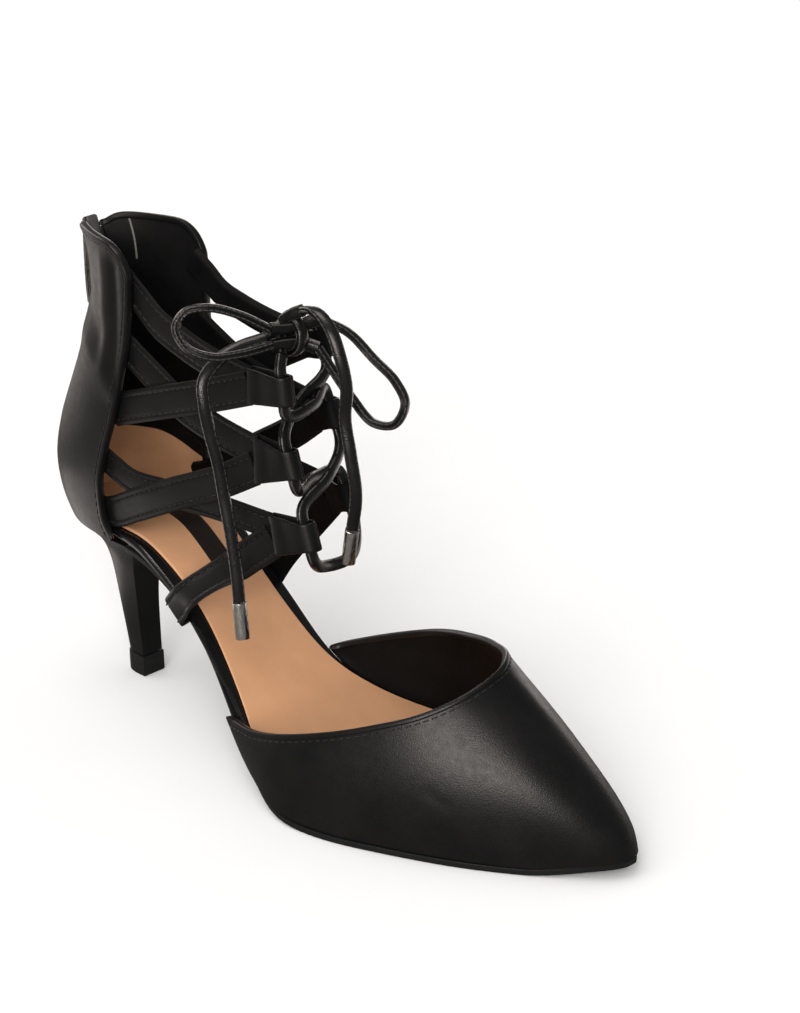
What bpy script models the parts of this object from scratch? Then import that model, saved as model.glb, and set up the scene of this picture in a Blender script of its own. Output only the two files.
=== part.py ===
"""Right pump with a pointed toe, a slim heel, laced ankle straps and a back zip.

Tables and sizes are in millimetres, and a mesh turns them into metres. +X runs
from the heel to the toe, +Y to the inner (medial) side of the foot and +Z up.
The origin lies on the floor under the ball of the foot.
"""
import math

import bmesh
import bpy
import numpy as np

MM = 0.001
GAP = 0.3                  # clearance between neighbouring pieces

# Sole unit
OUTSOLE_THICKNESS = 2.2
BOARD_THICKNESS = 3.2
INSOLE_THICKNESS = 0.9
BREAST_X = -112.0          # where the outsole ends against the heel
TOE_SPINE = 16.0           # length of the round ends that shrink towards a point
HEEL_SPINE = 20.0

# Upper
VAMP_WALL = 1.5
FEATHER_OVERRUN = 0.8      # the vamp's lower edge runs this far behind the ends of its throat line
TOE_SOFTENING = 7          # passes that round the ridge between the throat and the toe
COUNTER_WALL = 1.9
SEAT_Z = 57.6              # lower edge of the counter
COLLAR_Z = 157.5           # upper edge of the counter at the back
EAR_DROP = 10.0            # how far the front corners of the collar are rounded down
EAR_START = 0.68           # where along the collar the rounding starts
ZIP_SLOT = 7.2             # width of the slit for the zip
ZIP_FOOT_Z = 77.0          # lower end of the slit

# One row for each station of the sole, toe to heel. lateral and medial are the
# edges of the feather line, underside the height of the outsole's lower face, and
# outsole, board and sock the insets of those three edges from the feather line.
STATION_COLUMNS = ("x", "lateral", "medial", "underside", "outsole", "board", "sock")
STATIONS = (
    (79.6, 7.2, 7.2, 3.6, -0.4, 5.0, 6.5),
    (73.3, -1.2, 14.2, 2.5, -0.6, 4.6, 6.2),
    (55.0, -14.0, 27.6, 0.0, -1.9, 3.6, 4.6),
    (36.7, -24.2, 36.6, 0.0, -2.1, 2.8, 3.6),
    (18.3, -32.2, 40.8, 0.0, -2.1, 2.4, 3.0),
    (0.0, -38.7, 40.3, 0.0, -2.1, 2.4, 2.9),
    (-9.0, -40.4, 38.9, 0.0, -2.1, 2.4, 2.9),
    (-18.3, -41.4, 36.6, 0.9, -1.7, 2.4, 2.9),
    (-36.7, -36.4, 26.9, 6.4, -0.4, 2.4, 3.2),
    (-55.0, -30.6, 17.6, 19.4, 1.4, 2.2, 5.4),
    (-73.3, -26.0, 15.2, 35.2, 2.2, 0.6, 5.6),
    (-91.7, -23.6, 17.0, 47.2, 2.2, 0.6, 5.4),
    (-110.0, -23.2, 20.0, 54.6, 1.2, 1.6, 5.0),
    (-128.4, -22.2, 20.9, 55.1, 1.0, 2.6, 4.6),
    (-142.0, -18.6, 18.0, 55.1, 1.0, 2.6, 4.4),
    (-150.5, -11.8, 11.6, 55.1, 1.0, 2.6, 4.2),
    (-155.0, 0.0, 0.0, 55.1, 1.0, 2.6, 4.2),
)

# Throat line of the vamp from its outer end over the instep to its inner end.
THROAT_COLUMNS = ("x", "y", "z")
THROAT = (
    (-51.5, -31.6, 20.6),
    (-34.0, -36.2, 23.2),
    (-8.4, -34.6, 31.0),
    (9.0, -28.2, 37.4),
    (22.6, -19.4, 43.2),
    (30.0, -9.0, 48.6),
    (31.0, 1.5, 51.8),
    (25.5, 10.0, 52.0),
    (12.5, 19.0, 48.4),
    (-2.5, 26.4, 43.2),
    (-25.3, 30.6, 36.4),
    (-40.0, 25.2, 32.0),
    (-57.0, 17.6, 26.0),
)

# Shape of the vamp from the feather line to the throat, along the way round.
# shoulder is the share of the height that is gained at once, crown how sharply,
# and bulge how far the wall stands out.
WALL_COLUMNS = ("way", "shoulder", "crown", "bulge")
WALLS = (
    (0.00, 0.55, 2.0, 0.0),
    (0.15, 0.62, 2.2, 1.4),
    (0.32, 0.50, 2.6, 1.8),
    (0.43, 0.32, 4.5, 1.2),
    (0.49, 0.24, 9.0, 7.0),
    (0.55, 0.12, 5.0, 0.4),
    (0.68, 0.34, 2.6, 0.6),
    (0.85, 0.60, 2.2, 1.0),
    (1.00, 0.55, 2.0, 0.0),
)

# One row for each level of the counter. fullness is the power of the rounded U
# that runs from the outer front edge round the back to the inner front edge.
COUNTER_COLUMNS = ("height", "back", "outer_front", "outer", "inner_front", "inner", "fullness")
COUNTER = (
    (57.0, -155.2, -118.0, 22.9, -117.0, 21.2, 2.2),
    (66.0, -160.6, -121.0, 23.8, -119.0, 22.2, 2.2),
    (76.0, -162.6, -121.5, 24.0, -120.0, 22.4, 2.2),
    (87.0, -161.2, -119.5, 23.2, -118.5, 21.8, 2.1),
    (99.0, -157.2, -116.0, 21.8, -115.5, 20.6, 2.0),
    (114.0, -151.0, -112.5, 20.0, -112.5, 19.2, 1.9),
    (130.0, -146.2, -110.0, 18.4, -111.0, 18.0, 1.8),
    (141.0, -144.8, -109.0, 17.6, -110.5, 17.4, 1.75),
    (150.0, -146.4, -108.5, 17.4, -110.5, 17.4, 1.7),
    (158.0, -149.6, -109.0, 17.6, -111.0, 17.8, 1.7),
)

# One row for each level of the heel, whose section is flat at the front.
HEEL_COLUMNS = ("height", "front", "back", "half", "middle", "fullness")
HEEL = (
    (57.0, -112.6, -154.2, 21.4, -0.6, 2.3),
    (54.0, -115.5, -152.6, 18.0, -0.8, 2.3),
    (49.5, -120.0, -149.0, 12.4, -1.2, 2.4),
    (44.0, -124.8, -145.6, 7.4, -1.6, 2.6),
    (38.0, -126.9, -142.6, 5.6, -1.9, 2.8),
    (28.0, -126.8, -140.0, 4.8, -2.2, 3.0),
    (16.0, -126.0, -136.8, 4.4, -2.5, 3.2),
    (7.7, -125.2, -134.6, 4.1, -2.8, 3.4),
)
TIP_HEIGHT = 7.4
TIP_STEP = 0.4             # the heel tip stands out this far round the heel

# Ankle straps. A strap is a line of places (x, z) seen from the side, laid on a
# surface from the counter's front edge to the lacing. lift raises a strap off that
# surface where another passes behind it.
LATERAL, MEDIAL = -1.0, 1.0
STRAP_WALL = 1.8
STRAP_SEAT = 3.6           # depth of the straps' middle under the counter's outer face
STRAP_LIFT_START = 0.3     # share of a strap along which its lift grows
STRAP_OFF_BOARD = 0.8      # middle of a strap outside the feather line where it covers the board's edge
BOARD_WRAP_TOP = 66.0      # height under which the lowest strap turns to the board's edge
BOARD_WRAP_RUN = 17.0
BOARD_WRAP_BACK = -105.0   # no strap behind this place turns to the board's edge
TAB_WIDTH = 10.4
LOOP_HEIGHT = 9.6
LOOP_RADIUS = 3.7
LOOP_BORE = 2.85
LACING_HALF = 10.0         # half the gap between the two rows of loops
LACING_SET_BACK = -7.0     # the inner row of loops lies further back
STRAPS = (
    {"upper": ((-114.0, 145.6), (-107.0, 141.2), (-98.5, 135.5), (-86.0, 131.2), (-70.0, 127.4),
               (-56.0, 125.4)),
     "lower": ((-117.5, 102.2), (-111.0, 104.5), (-92.5, 110.9), (-74.0, 117.2), (-56.0, 123.8)),
     "loop": (-43.5, 125.4),
     "upper_width": 9.6, "upper_lift": 0.0, "lower_width": 9.8, "lower_lift": 0.6},
    {"upper": ((-113.5, 124.2), (-107.5, 121.0), (-97.0, 115.8), (-88.0, 111.5), (-71.0, 107.0),
               (-54.0, 103.8)),
     "lower": ((-123.5, 66.1), (-119.5, 67.0), (-106.0, 73.2), (-88.0, 81.8), (-66.0, 91.7),
               (-53.0, 99.0)),
     "loop": (-40.5, 102.8),
     "upper_width": 9.8, "upper_lift": -0.7, "lower_width": 9.8, "lower_lift": 0.6},
    {"upper": ((-125.0, 85.6), (-119.3, 83.8), (-110.0, 80.8), (-90.0, 81.2), (-68.0, 82.2),
               (-46.0, 81.6)),
     "lower": ((-86.5, 41.6), (-74.2, 54.2), (-57.7, 67.6), (-45.0, 77.6)),
     "loop": (-33.0, 81.4),
     "upper_width": 7.8, "upper_lift": -0.7, "lower_width": 10.0, "lower_lift": 0.4},
)
MEDIAL_SHIFTS = ((-8.5, 7.2), (-8.0, 7.4), (-11.5, 1.8))
LACING_COLUMNS = ("height", "front")
LACING = ((60.0, -22.0), (80.0, -26.0), (102.0, -34.0), (126.0, -37.0), (150.0, -40.0))

# Zip. Profiles are rows of (outwards, upwards) from the counter's back line, or of
# (sideways, outwards) for the chain, which is drawn out along that line.
CHAIN_PROFILE = ((-2.6, -0.3), (-1.4, -0.3), (-1.4, 0.6), (1.4, 0.6),
                 (1.4, -0.3), (2.6, -0.3), (2.6, -1.5), (-2.6, -1.5))
CHAIN_LIFT = 1.4           # lower end of the chain over the end of the slit
SLIDER_Z = 152.6
SLIDER_LENGTH = 8.6
SLIDER_HALF = 2.6
SLIDER_PROFILE = ((-2.2, -3.7), (-2.2, 3.7), (-1.6, 4.3), (0.6, 4.3),
                  (1.2, 3.7), (1.2, -3.7), (0.6, -4.3), (-1.6, -4.3))
BAIL_HALF = 0.8
BAIL_PROFILE = ((1.0, -3.4), (3.7, -3.4), (4.5, -2.6), (4.5, 2.4), (3.7, 3.2), (1.0, 3.2),
                (1.0, 2.0), (3.2, 2.0), (3.4, 1.8), (3.4, -2.0), (3.2, -2.2), (1.0, -2.2))
PULL_BAR_PLACE = (2.4, -1.2)
PULL_WALL = 1.1
PULL_SIDE = ((0.55, 1.6), (0.0, 2.25), (-13.0, 2.5), (-19.0, 2.4), (-23.2, 2.0), (-24.4, 1.0))
EYE_HALF = 1.15
EYE_PROFILE = ((-2.0, -0.55), (2.0, -0.55), (2.0, -6.3), (-2.0, -6.3))

# Lace
LACE_DIAMETER = 4.2
LACE_STRAIGHT = 2.6        # straight run of the lace past each end of a loop
LACE_FRONT = 3.2           # the strand in front of a crossing
LACE_BEHIND = -2.4         # the strand behind it
LACE_BAR_HALF = 5.0
LACE_BAR_FORWARD = 2.0
LACE_BAR_DROP = 7.0
AGLET_LENGTH = 11.5
AGLET_DIAMETER = 5.0
KNOT_CENTRE = (-48.5, -2.5, 139.4)
KNOT_PROFILE = ((-7.6, 2.0), (-6.6, 4.2), (-4.6, 5.2), (-2.6, 5.4), (-2.2, 6.6), (0.0, 7.0),
                (2.2, 6.6), (2.6, 5.4), (4.6, 5.2), (6.6, 4.2), (7.6, 2.0))
KNOT_FROM_OUTER = (-46.2, -9.9, 134.9)
KNOT_FROM_INNER = (-50.3, 6.3, 141.2)
BOW_LOOPS = {
    "bow_loop_left": (
        (-50.3, -10.6, 142.9), (-55.0, -18.0, 148.0), (-60.5, -26.0, 151.0), (-64.5, -31.5, 150.0),
        (-65.8, -34.0, 146.0), (-63.0, -33.5, 140.5), (-57.5, -29.0, 137.2), (-52.5, -20.5, 137.0),
        (-49.0, -11.0, 138.1)),
    "bow_loop_right": (
        (-43.9, 4.0, 144.1), (-36.0, 8.0, 140.5), (-28.0, 11.0, 133.0), (-20.0, 12.0, 127.5),
        (-15.0, 11.0, 122.0), (-18.0, 9.0, 115.0), (-24.0, 7.0, 114.5), (-32.0, 5.0, 121.5),
        (-38.0, 3.0, 129.5), (-42.0, 1.2, 135.8)),
}
LACE_ENDS = {
    "left": (
        (-54.7, -8.4, 138.5), (-58.5, -15.5, 136.6), (-61.0, -23.0, 133.0), (-61.5, -28.0, 128.0),
        (-60.0, -29.3, 121.0), (-58.5, -28.8, 112.0), (-56.5, -28.2, 104.0), (-54.0, -28.2, 92.0),
        (-51.0, -28.6, 80.0), (-48.5, -29.3, 68.0), (-47.3, -29.8, 60.5)),
    "right": (
        (-45.2, -1.5, 147.7), (-39.0, -2.5, 149.0), (-31.5, -3.5, 145.5), (-27.0, -4.0, 138.0),
        (-25.0, -3.5, 128.0), (-26.0, -3.5, 119.0), (-23.5, -4.0, 108.0), (-21.5, -4.0, 95.0),
        (-23.5, -4.0, 83.5)),
}


def column(table, columns, name):
    """Values of one named column of a table."""
    place = columns.index(name)
    return np.array([row[place] for row in table], dtype=float)


def smooth_through(places, values):
    """Monotone cubic curve through values given at places."""
    order = np.argsort(places)
    knots = np.asarray(places, dtype=float)[order]
    heights = np.asarray(values, dtype=float)[order]
    steps = np.diff(knots)
    slopes = np.diff(heights) / steps
    before, after = slopes[:-1], slopes[1:]
    same_way = before * after > 0.0
    total = np.where(same_way, before + after, 1.0)
    inner = np.where(same_way, 2.0 * before * after / total, 0.0)
    tangents = np.concatenate(([slopes[0]], inner, [slopes[-1]]))

    def at(place):
        place = np.clip(place, knots[0], knots[-1])
        cell = np.clip(np.searchsorted(knots, place, side="right") - 1, 0, len(steps) - 1)
        width = steps[cell]
        t = (place - knots[cell]) / width
        rest = 1.0 - t
        start = (1.0 + 2.0 * t) * rest ** 2 * heights[cell] + t * rest ** 2 * width * tangents[cell]
        end = t * t * (3.0 - 2.0 * t) * heights[cell + 1] - t * t * rest * width * tangents[cell + 1]
        return start + end

    return at


def table_curve(table, columns, key, name):
    """Smooth curve of a named column over the key column."""
    return smooth_through(column(table, columns, key), column(table, columns, name))


def curve_through(points, count):
    """Evenly spaced points on a smooth curve through the given points."""
    points = np.asarray(points, dtype=float)
    way = np.concatenate(([0.0], np.cumsum(np.linalg.norm(np.diff(points, axis=0), axis=1))))
    tangents = np.gradient(points, way, axis=0)
    fine = np.linspace(0.0, way[-1], 24 * len(points))
    cell = np.clip(np.searchsorted(way, fine, side="right") - 1, 0, len(way) - 2)
    width = np.diff(way)[cell][:, None]
    t = ((fine - way[cell])[:, None]) / width
    curve = (1 + 2 * t) * (1 - t) ** 2 * points[cell] + t * (1 - t) ** 2 * width * tangents[cell]
    curve += t * t * (3 - 2 * t) * points[cell + 1] + t * t * (t - 1) * width * tangents[cell + 1]
    length = np.concatenate(([0.0], np.cumsum(np.linalg.norm(np.diff(curve, axis=0), axis=1))))
    even = np.linspace(0.0, length[-1], count)
    return np.stack([np.interp(even, length, curve[:, axis]) for axis in range(3)], axis=1)


def unit(vectors):
    """Vectors scaled to length one."""
    size = np.linalg.norm(vectors, axis=-1, keepdims=True)
    return vectors / np.maximum(size, 1e-9)


# Outline of the sole
STATION_X = column(STATIONS, STATION_COLUMNS, "x")
TOE_X = STATION_X.max()
HEEL_X = STATION_X.min()
MIDDLE_X = 0.5 * (TOE_X + HEEL_X)
HALF_LENGTH = 0.5 * (TOE_X - HEEL_X)


def turn_of(x):
    """Angle of a place on the circle over the sole's length, which makes round ends."""
    return np.arccos(np.clip((np.asarray(x, dtype=float) - MIDDLE_X) / HALF_LENGTH, -1.0, 1.0))


lateral_by_turn = smooth_through(turn_of(STATION_X), column(STATIONS, STATION_COLUMNS, "lateral"))
medial_by_turn = smooth_through(turn_of(STATION_X), column(STATIONS, STATION_COLUMNS, "medial"))
underside = table_curve(STATIONS, STATION_COLUMNS, "x", "underside")
outsole_inset = table_curve(STATIONS, STATION_COLUMNS, "x", "outsole")
board_inset = table_curve(STATIONS, STATION_COLUMNS, "x", "board")
sock_inset = table_curve(STATIONS, STATION_COLUMNS, "x", "sock")
lacing_front = table_curve(LACING, LACING_COLUMNS, "height", "front")


def sole_edges(x, inset):
    """Outer and inner edge points of the sole at x, drawn in towards its spine."""
    x = np.asarray(x, dtype=float)
    spine_x = np.clip(x, HEEL_X + HEEL_SPINE, TOE_X - TOE_SPINE)
    spine_turn = turn_of(spine_x)
    spine_y = 0.5 * (lateral_by_turn(spine_turn) + medial_by_turn(spine_turn))
    spine = np.stack([spine_x, spine_y], axis=-1)
    edges = []
    for side in (lateral_by_turn, medial_by_turn):
        edge = np.stack([x, side(turn_of(x))], axis=-1)
        edges.append(edge + unit(spine - edge) * np.asarray(inset)[..., None])
    return edges


def material(name, colour, roughness, metallic=0.0):
    """Principled material of a sub-part."""
    made = bpy.data.materials.get(name)
    if made is None:
        made = bpy.data.materials.new(name)
        made.use_nodes = True
        shader = made.node_tree.nodes["Principled BSDF"]
        shader.inputs["Base Color"].default_value = (*colour, 1.0)
        shader.inputs["Roughness"].default_value = roughness
        shader.inputs["Metallic"].default_value = metallic
    return made


LEATHER = ("black leather", (0.012, 0.012, 0.013), 0.42)
BOARD_COVER = ("black board cover", (0.010, 0.010, 0.011), 0.30)
RUBBER = ("black rubber", (0.015, 0.015, 0.015), 0.65)
SOCK = ("tan sock", (0.62, 0.34, 0.19), 0.50)
METAL = ("dark metal", (0.30, 0.29, 0.28), 0.28, 1.0)
TAPE = ("black zip tape", (0.012, 0.012, 0.012), 0.70)
CORD = ("black rolled cord", (0.012, 0.011, 0.011), 0.35)


def make_object(name, points, faces, finish, smooth_angle=35.0):
    """Mesh object from points in millimetres and faces, with its normals outwards."""
    mesh = bpy.data.meshes.new(name)
    mesh.from_pydata([tuple(float(v) * MM for v in point) for point in points], [], faces)
    work = bmesh.new()
    work.from_mesh(mesh)
    bmesh.ops.remove_doubles(work, verts=work.verts, dist=1e-7)
    bmesh.ops.recalc_face_normals(work, faces=work.faces)
    work.to_mesh(mesh)
    work.free()
    mesh.shade_smooth()
    mesh.set_sharp_from_angle(angle=math.radians(smooth_angle))
    made = bpy.data.objects.new(name, mesh)
    bpy.context.scene.collection.objects.link(made)
    mesh.materials.append(material(*finish))
    return made


def loft(name, loops, finish, smooth_angle=35.0):
    """Closed solid through loops of equal count, capped at both ends."""
    count = len(loops[0])
    points = [point for loop in loops for point in loop]
    faces = [tuple(range(count))[::-1]]
    for ring in range(len(loops) - 1):
        for spot in range(count):
            after = (spot + 1) % count
            low, high = ring * count, (ring + 1) * count
            faces.append((low + spot, low + after, high + after, high + spot))
    last = (len(loops) - 1) * count
    faces.append(tuple(range(last, last + count)))
    return make_object(name, points, faces, finish, smooth_angle)


def grid_normals(grid):
    """Unit normals of a grid of points."""
    along = np.gradient(grid, axis=0)
    across = np.gradient(grid, axis=1)
    return unit(np.cross(along, across))


def shell(name, grid, wall, finish, kept=None):
    """Wall of even thickness on one side of a grid of points, open where cells are left out.

    The wall is on the side that the grid's normals point away from: inside the counter's
    grid, whose columns run backwards first, and outside the vamp's, whose columns run forwards.
    The first row of the grid is the lower edge, and its rim is cut level.
    """
    rows, columns = grid.shape[:2]
    if kept is None:
        kept = np.ones((rows - 1, columns - 1), dtype=bool)
    far_face = grid - grid_normals(grid) * wall
    far_face[0, :, 2] = grid[0, :, 2]
    behind = rows * columns
    points = np.concatenate([grid.reshape(-1, 3), far_face.reshape(-1, 3)])
    front = []
    for row in range(rows - 1):
        for spot in range(columns - 1):
            if kept[row, spot]:
                start = row * columns + spot
                front.append((start, start + columns, start + columns + 1, start + 1))
    edges = {(face[n], face[(n + 1) % 4]) for face in front for n in range(4)}
    rims = [(b, a, a + behind, b + behind) for a, b in sorted(edges) if (b, a) not in edges]
    back = [tuple(v + behind for v in reversed(face)) for face in front]
    used = sorted({v for face in front + rims + back for v in face})
    place = {old: new for new, old in enumerate(used)}
    faces = [tuple(place[v] for v in face) for face in front + rims + back]
    return make_object(name, points[used], faces, finish)


# Sole unit
def plate(name, front_x, back_x, sections, inset_at, base_at, profile, finish):
    """Sheet under the foot. profile rows are an extra inset and a height over the base."""
    first, last = turn_of(front_x), turn_of(back_x)
    x = MIDDLE_X + HALF_LENGTH * np.cos(np.linspace(first, last, sections))
    sides = ([], [])
    for extra, height in profile:
        for side, edge in zip(sides, sole_edges(x, inset_at(x) + extra)):
            level = base_at(edge[:, 0]) + height
            side.append(np.column_stack([edge, level]))
    loops = []
    for section in range(sections):
        outer = [row[section] for row in sides[0]]
        inner = [row[section] for row in sides[1]]
        loops.append(outer + inner[::-1])
    return loft(name, loops, finish)


def board_base(x):
    """Height of the board's lower face."""
    return underside(x) + OUTSOLE_THICKNESS + GAP


def make_sole_unit():
    """Outsole, covered board and sock."""
    toe_cut = TOE_X - 0.25
    heel_cut = HEEL_X + 0.25
    edge_roll = ((1.0, 0.0), (0.25, 0.55), (0.0, 1.6), (0.25, 2.65), (1.0, BOARD_THICKNESS))
    plate("outsole", toe_cut, BREAST_X, 40, outsole_inset, underside,
          ((0.5, 0.0), (0.0, 0.4), (0.0, OUTSOLE_THICKNESS)), RUBBER)
    plate("insole_board", toe_cut, heel_cut, 48, board_inset, board_base, edge_roll, BOARD_COVER)
    plate("insole", toe_cut, heel_cut, 48, sock_inset,
          lambda x: board_base(x) + BOARD_THICKNESS + GAP,
          ((0.0, 0.0), (0.0, 0.5), (0.4, INSOLE_THICKNESS)), SOCK)


def heel_loop(level, grow=0.0):
    """Section of the heel at one level: flat at the front, round at the back."""
    height, front, back, half, middle, fullness = level
    front, back, half = front + grow, back - grow, half + grow
    loop = []
    for angle in np.linspace(-0.5 * math.pi, 0.5 * math.pi, 17):
        y = half * math.copysign(abs(math.sin(angle)) ** (2.0 / fullness), angle)
        x = front + (back - front) * abs(math.cos(angle)) ** (2.0 / fullness)
        loop.append((x, y + middle, height))
    return loop


def make_heel():
    """Covered heel and the block under it."""
    heights = column(HEEL, HEEL_COLUMNS, "height")
    curves = [smooth_through(heights, column(HEEL, HEEL_COLUMNS, name)) for name in HEEL_COLUMNS[1:]]
    levels = np.concatenate([np.linspace(TIP_HEIGHT + GAP, 38.0, 6), np.linspace(41.0, 57.0, 8)])
    rows = [(level, *(float(curve(level)) for curve in curves)) for level in levels]
    loft("heel", [heel_loop(row) for row in rows], LEATHER)
    foot = rows[0][1:]
    tip_levels = ((0.0, TIP_STEP - 0.3), (0.4, TIP_STEP), (TIP_HEIGHT, TIP_STEP))
    loft("heel_tip", [heel_loop((level, *foot), grow) for level, grow in tip_levels], RUBBER)


# Vamp
def feather_line(count):
    """Lower edge of the vamp from its outer end round the toe to its inner end."""
    throat_x = column(THROAT, THROAT_COLUMNS, "x")
    outer_end = turn_of(throat_x[0] - FEATHER_OVERRUN)
    inner_end = turn_of(throat_x[-1] - FEATHER_OVERRUN)
    outer_turns = np.linspace(outer_end, 0.0, 90)
    inner_turns = np.linspace(0.0, inner_end, 90)[1:]
    edge = []
    for turns, side in ((outer_turns, lateral_by_turn), (inner_turns, medial_by_turn)):
        x = MIDDLE_X + HALF_LENGTH * np.cos(turns)
        edge.append(np.column_stack([x, side(turns), board_base(x)]))
    edge = np.concatenate(edge)
    return curve_through(edge, count)


def vamp_grid(count, rows):
    """Inner face of the vamp, rows from the feather line to the throat."""
    feather = feather_line(count)
    throat = curve_through(THROAT, count)
    way = np.linspace(0.0, 1.0, count)
    shoulder, crown, bulge = (table_curve(WALLS, WALL_COLUMNS, "way", name)(way) for name in WALL_COLUMNS[1:])
    tangent = np.gradient(feather, axis=0)
    outwards = unit(np.column_stack([tangent[:, 1], -tangent[:, 0], np.zeros(count)]))
    grid = []
    for step in np.linspace(0.0, 1.0, rows):
        t = step ** 1.8
        rise = (1.0 - shoulder) * t + shoulder * np.sqrt(1.0 - (1.0 - t) ** crown)
        points = feather + (throat - feather) * t
        points[:, 2] = feather[:, 2] + (throat[:, 2] - feather[:, 2]) * rise
        middle = math.sin(math.pi * step)
        points += outwards * (bulge * middle)[:, None]
        for _ in range(TOE_SOFTENING):
            softer = 0.25 * (points[:-2] + 2.0 * points[1:-1] + points[2:])
            points[1:-1] += middle * (softer - points[1:-1])
        grid.append(points)
    return np.array(grid)


def make_vamp():
    """Hollow lasted front, open at the throat and underneath."""
    shell("vamp", vamp_grid(51, 10), VAMP_WALL, LEATHER)


# Counter
COUNTER_CURVES = {name: table_curve(COUNTER, COUNTER_COLUMNS, "height", name) for name in COUNTER_COLUMNS[1:]}
SIDE_COLUMNS = {LATERAL: ("outer_front", "outer"), MEDIAL: ("inner_front", "inner")}


def counter_edge(height, side):
    """Place of the counter's front edge and half its width there."""
    front, half = (COUNTER_CURVES[name](height) for name in SIDE_COLUMNS[side])
    return front, half


def counter_x(height, side, y):
    """Place along the foot of the counter's outer face, y measured from the middle."""
    front, half = counter_edge(height, side)
    back, fullness = COUNTER_CURVES["back"](height), COUNTER_CURVES["fullness"](height)
    share = np.clip(y / half, 0.0, 1.0)
    return front - (front - back) * (1.0 - share ** fullness) ** (1.0 / fullness)


def counter_grid(columns, rows):
    """Outer face of the counter, rows upwards, columns from the outer to the inner front edge."""
    spans = np.linspace(0.0, 1.0, columns)
    ways = [(LATERAL, span) for span in spans[::-1]] + [(MEDIAL, None)] + [(MEDIAL, span) for span in spans]
    slot = 0.5 * ZIP_SLOT
    grid = []
    for level in np.linspace(0.0, 1.0, rows):
        row = []
        for side, span in ways:
            rounding = max(0.0, ((span or 0.0) - EAR_START) / (1.0 - EAR_START)) ** 2.4
            height = SEAT_Z + (COLLAR_Z - EAR_DROP * rounding - SEAT_Z) * level
            half = counter_edge(height, side)[1]
            y = 0.0 if span is None else slot + (half - slot) * math.sin(0.5 * math.pi * span)
            row.append((counter_x(height, side, y), side * y, height))
        grid.append(row)
    return np.array(grid, dtype=float)


def make_counter():
    """High hollow back, open above and in front, slit at the back for the zip."""
    columns, rows = 13, 16
    grid = counter_grid(columns, rows)
    kept = np.ones((rows - 1, 2 * columns), dtype=bool)
    lower_edge = grid[:-1, columns, 2]
    kept[lower_edge > ZIP_FOOT_Z, columns - 1:columns + 1] = False
    shell("counter", grid, COUNTER_WALL, LEATHER, kept)


# Straps
def shifted(points, loop, shift):
    """Points of a strap moved to the loop's shifted place, and not at all at the strap's start."""
    start, reach = points[0][0], loop[0] - points[0][0]
    return [(x + shift[0] * (x - start) / reach, z + shift[1] * (x - start) / reach) for x, z in points]


def ankle_y(x, z, side):
    """Half width of the surface on which the straps lie, at a place seen from the side."""
    front, half = counter_edge(z, side)
    lacing = lacing_front(z) + (LACING_SET_BACK if side == MEDIAL else 0.0)
    share = np.clip((x - front) / (lacing - front), 0.0, 0.995)
    back, fullness = COUNTER_CURVES["back"](z), COUNTER_CURVES["fullness"](z)
    tucked = np.clip((front - x) / (front - back), 0.0, 0.9)
    seat = half * (1.0 - tucked ** fullness) ** (1.0 / fullness) - STRAP_SEAT
    body = LACING_HALF + (seat - LACING_HALF) * np.sqrt(1.0 - share ** 2)
    edge = abs((lateral_by_turn if side == LATERAL else medial_by_turn)(turn_of(x))) + STRAP_OFF_BOARD
    low = np.clip((BOARD_WRAP_TOP - z) / BOARD_WRAP_RUN, 0.0, 1.0)
    low = low * low * (3.0 - 2.0 * low)
    return np.where(x > BOARD_WRAP_BACK, body + (edge - body) * low, body)


def on_ankle(places, side, lift):
    """Points on the ankle surface, with its outward normals, raised along them."""
    x, z = places[:, 0], places[:, 1]
    step = 0.5
    slope_x = (ankle_y(x + step, z, side) - ankle_y(x - step, z, side)) / (2.0 * step)
    slope_z = (ankle_y(x, z + step, side) - ankle_y(x, z - step, side)) / (2.0 * step)
    normals = unit(np.column_stack([-slope_x, np.full_like(x, side), -slope_z]))
    points = np.column_stack([x, side * ankle_y(x, z, side), z])
    return points + normals * np.asarray(lift)[:, None], normals


def ribbon(name, side, places, widths, thickness, lift, count):
    """Flat strap through places seen from the side. Widths and thicknesses run along it."""
    flat = curve_through([(x, z, 0.0) for x, z in places], count)[:, :2]
    way = np.linspace(0.0, 1.0, count)
    lifts = np.interp(way, (0.0, STRAP_LIFT_START, 1.0), (0.0, lift, lift))
    points, normals = on_ankle(flat, side, lifts)
    along = unit(np.gradient(points, axis=0))
    across = unit(np.cross(normals, along))
    half_width = 0.5 * np.interp(way, (0.0, 1.0), widths)[:, None] * across
    half_depth = 0.5 * np.interp(way, (0.0, 1.0), thickness)[:, None] * normals
    corners = [points - half_width - half_depth, points + half_width - half_depth,
               points + half_width + half_depth, points - half_width + half_depth]
    loops = [[corner[n] for corner in corners] for n in range(count)]
    return loft(name, loops, LEATHER), points[-1], across[-1]


def rod(name, start, end, radius, finish, sides=16, taper=1.0):
    """Straight round bar between two points."""
    start, end = np.asarray(start, dtype=float), np.asarray(end, dtype=float)
    axis = unit(end - start)
    first = unit(np.cross(axis, (0.31, 0.83, 0.47)))
    second = np.cross(axis, first)
    angles = np.linspace(0.0, 2.0 * math.pi, sides, endpoint=False)
    rings = []
    for centre, size in ((start, radius), (end, radius * taper)):
        rings.append([centre + size * (math.cos(a) * first + math.sin(a) * second) for a in angles])
    return loft(name, rings, finish)


def combine(base, others, operation):
    """Base joined with or cut by the others, which are used up."""
    for other in others:
        step = base.modifiers.new(operation.lower(), "BOOLEAN")
        step.operation = operation
        step.object = other
    bpy.context.view_layer.update()
    graph = bpy.context.evaluated_depsgraph_get()
    made = bpy.data.meshes.new_from_object(base.evaluated_get(graph))
    base.modifiers.clear()
    base.data = made
    for other in others:
        bpy.data.objects.remove(other, do_unlink=True)
    return base


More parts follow.
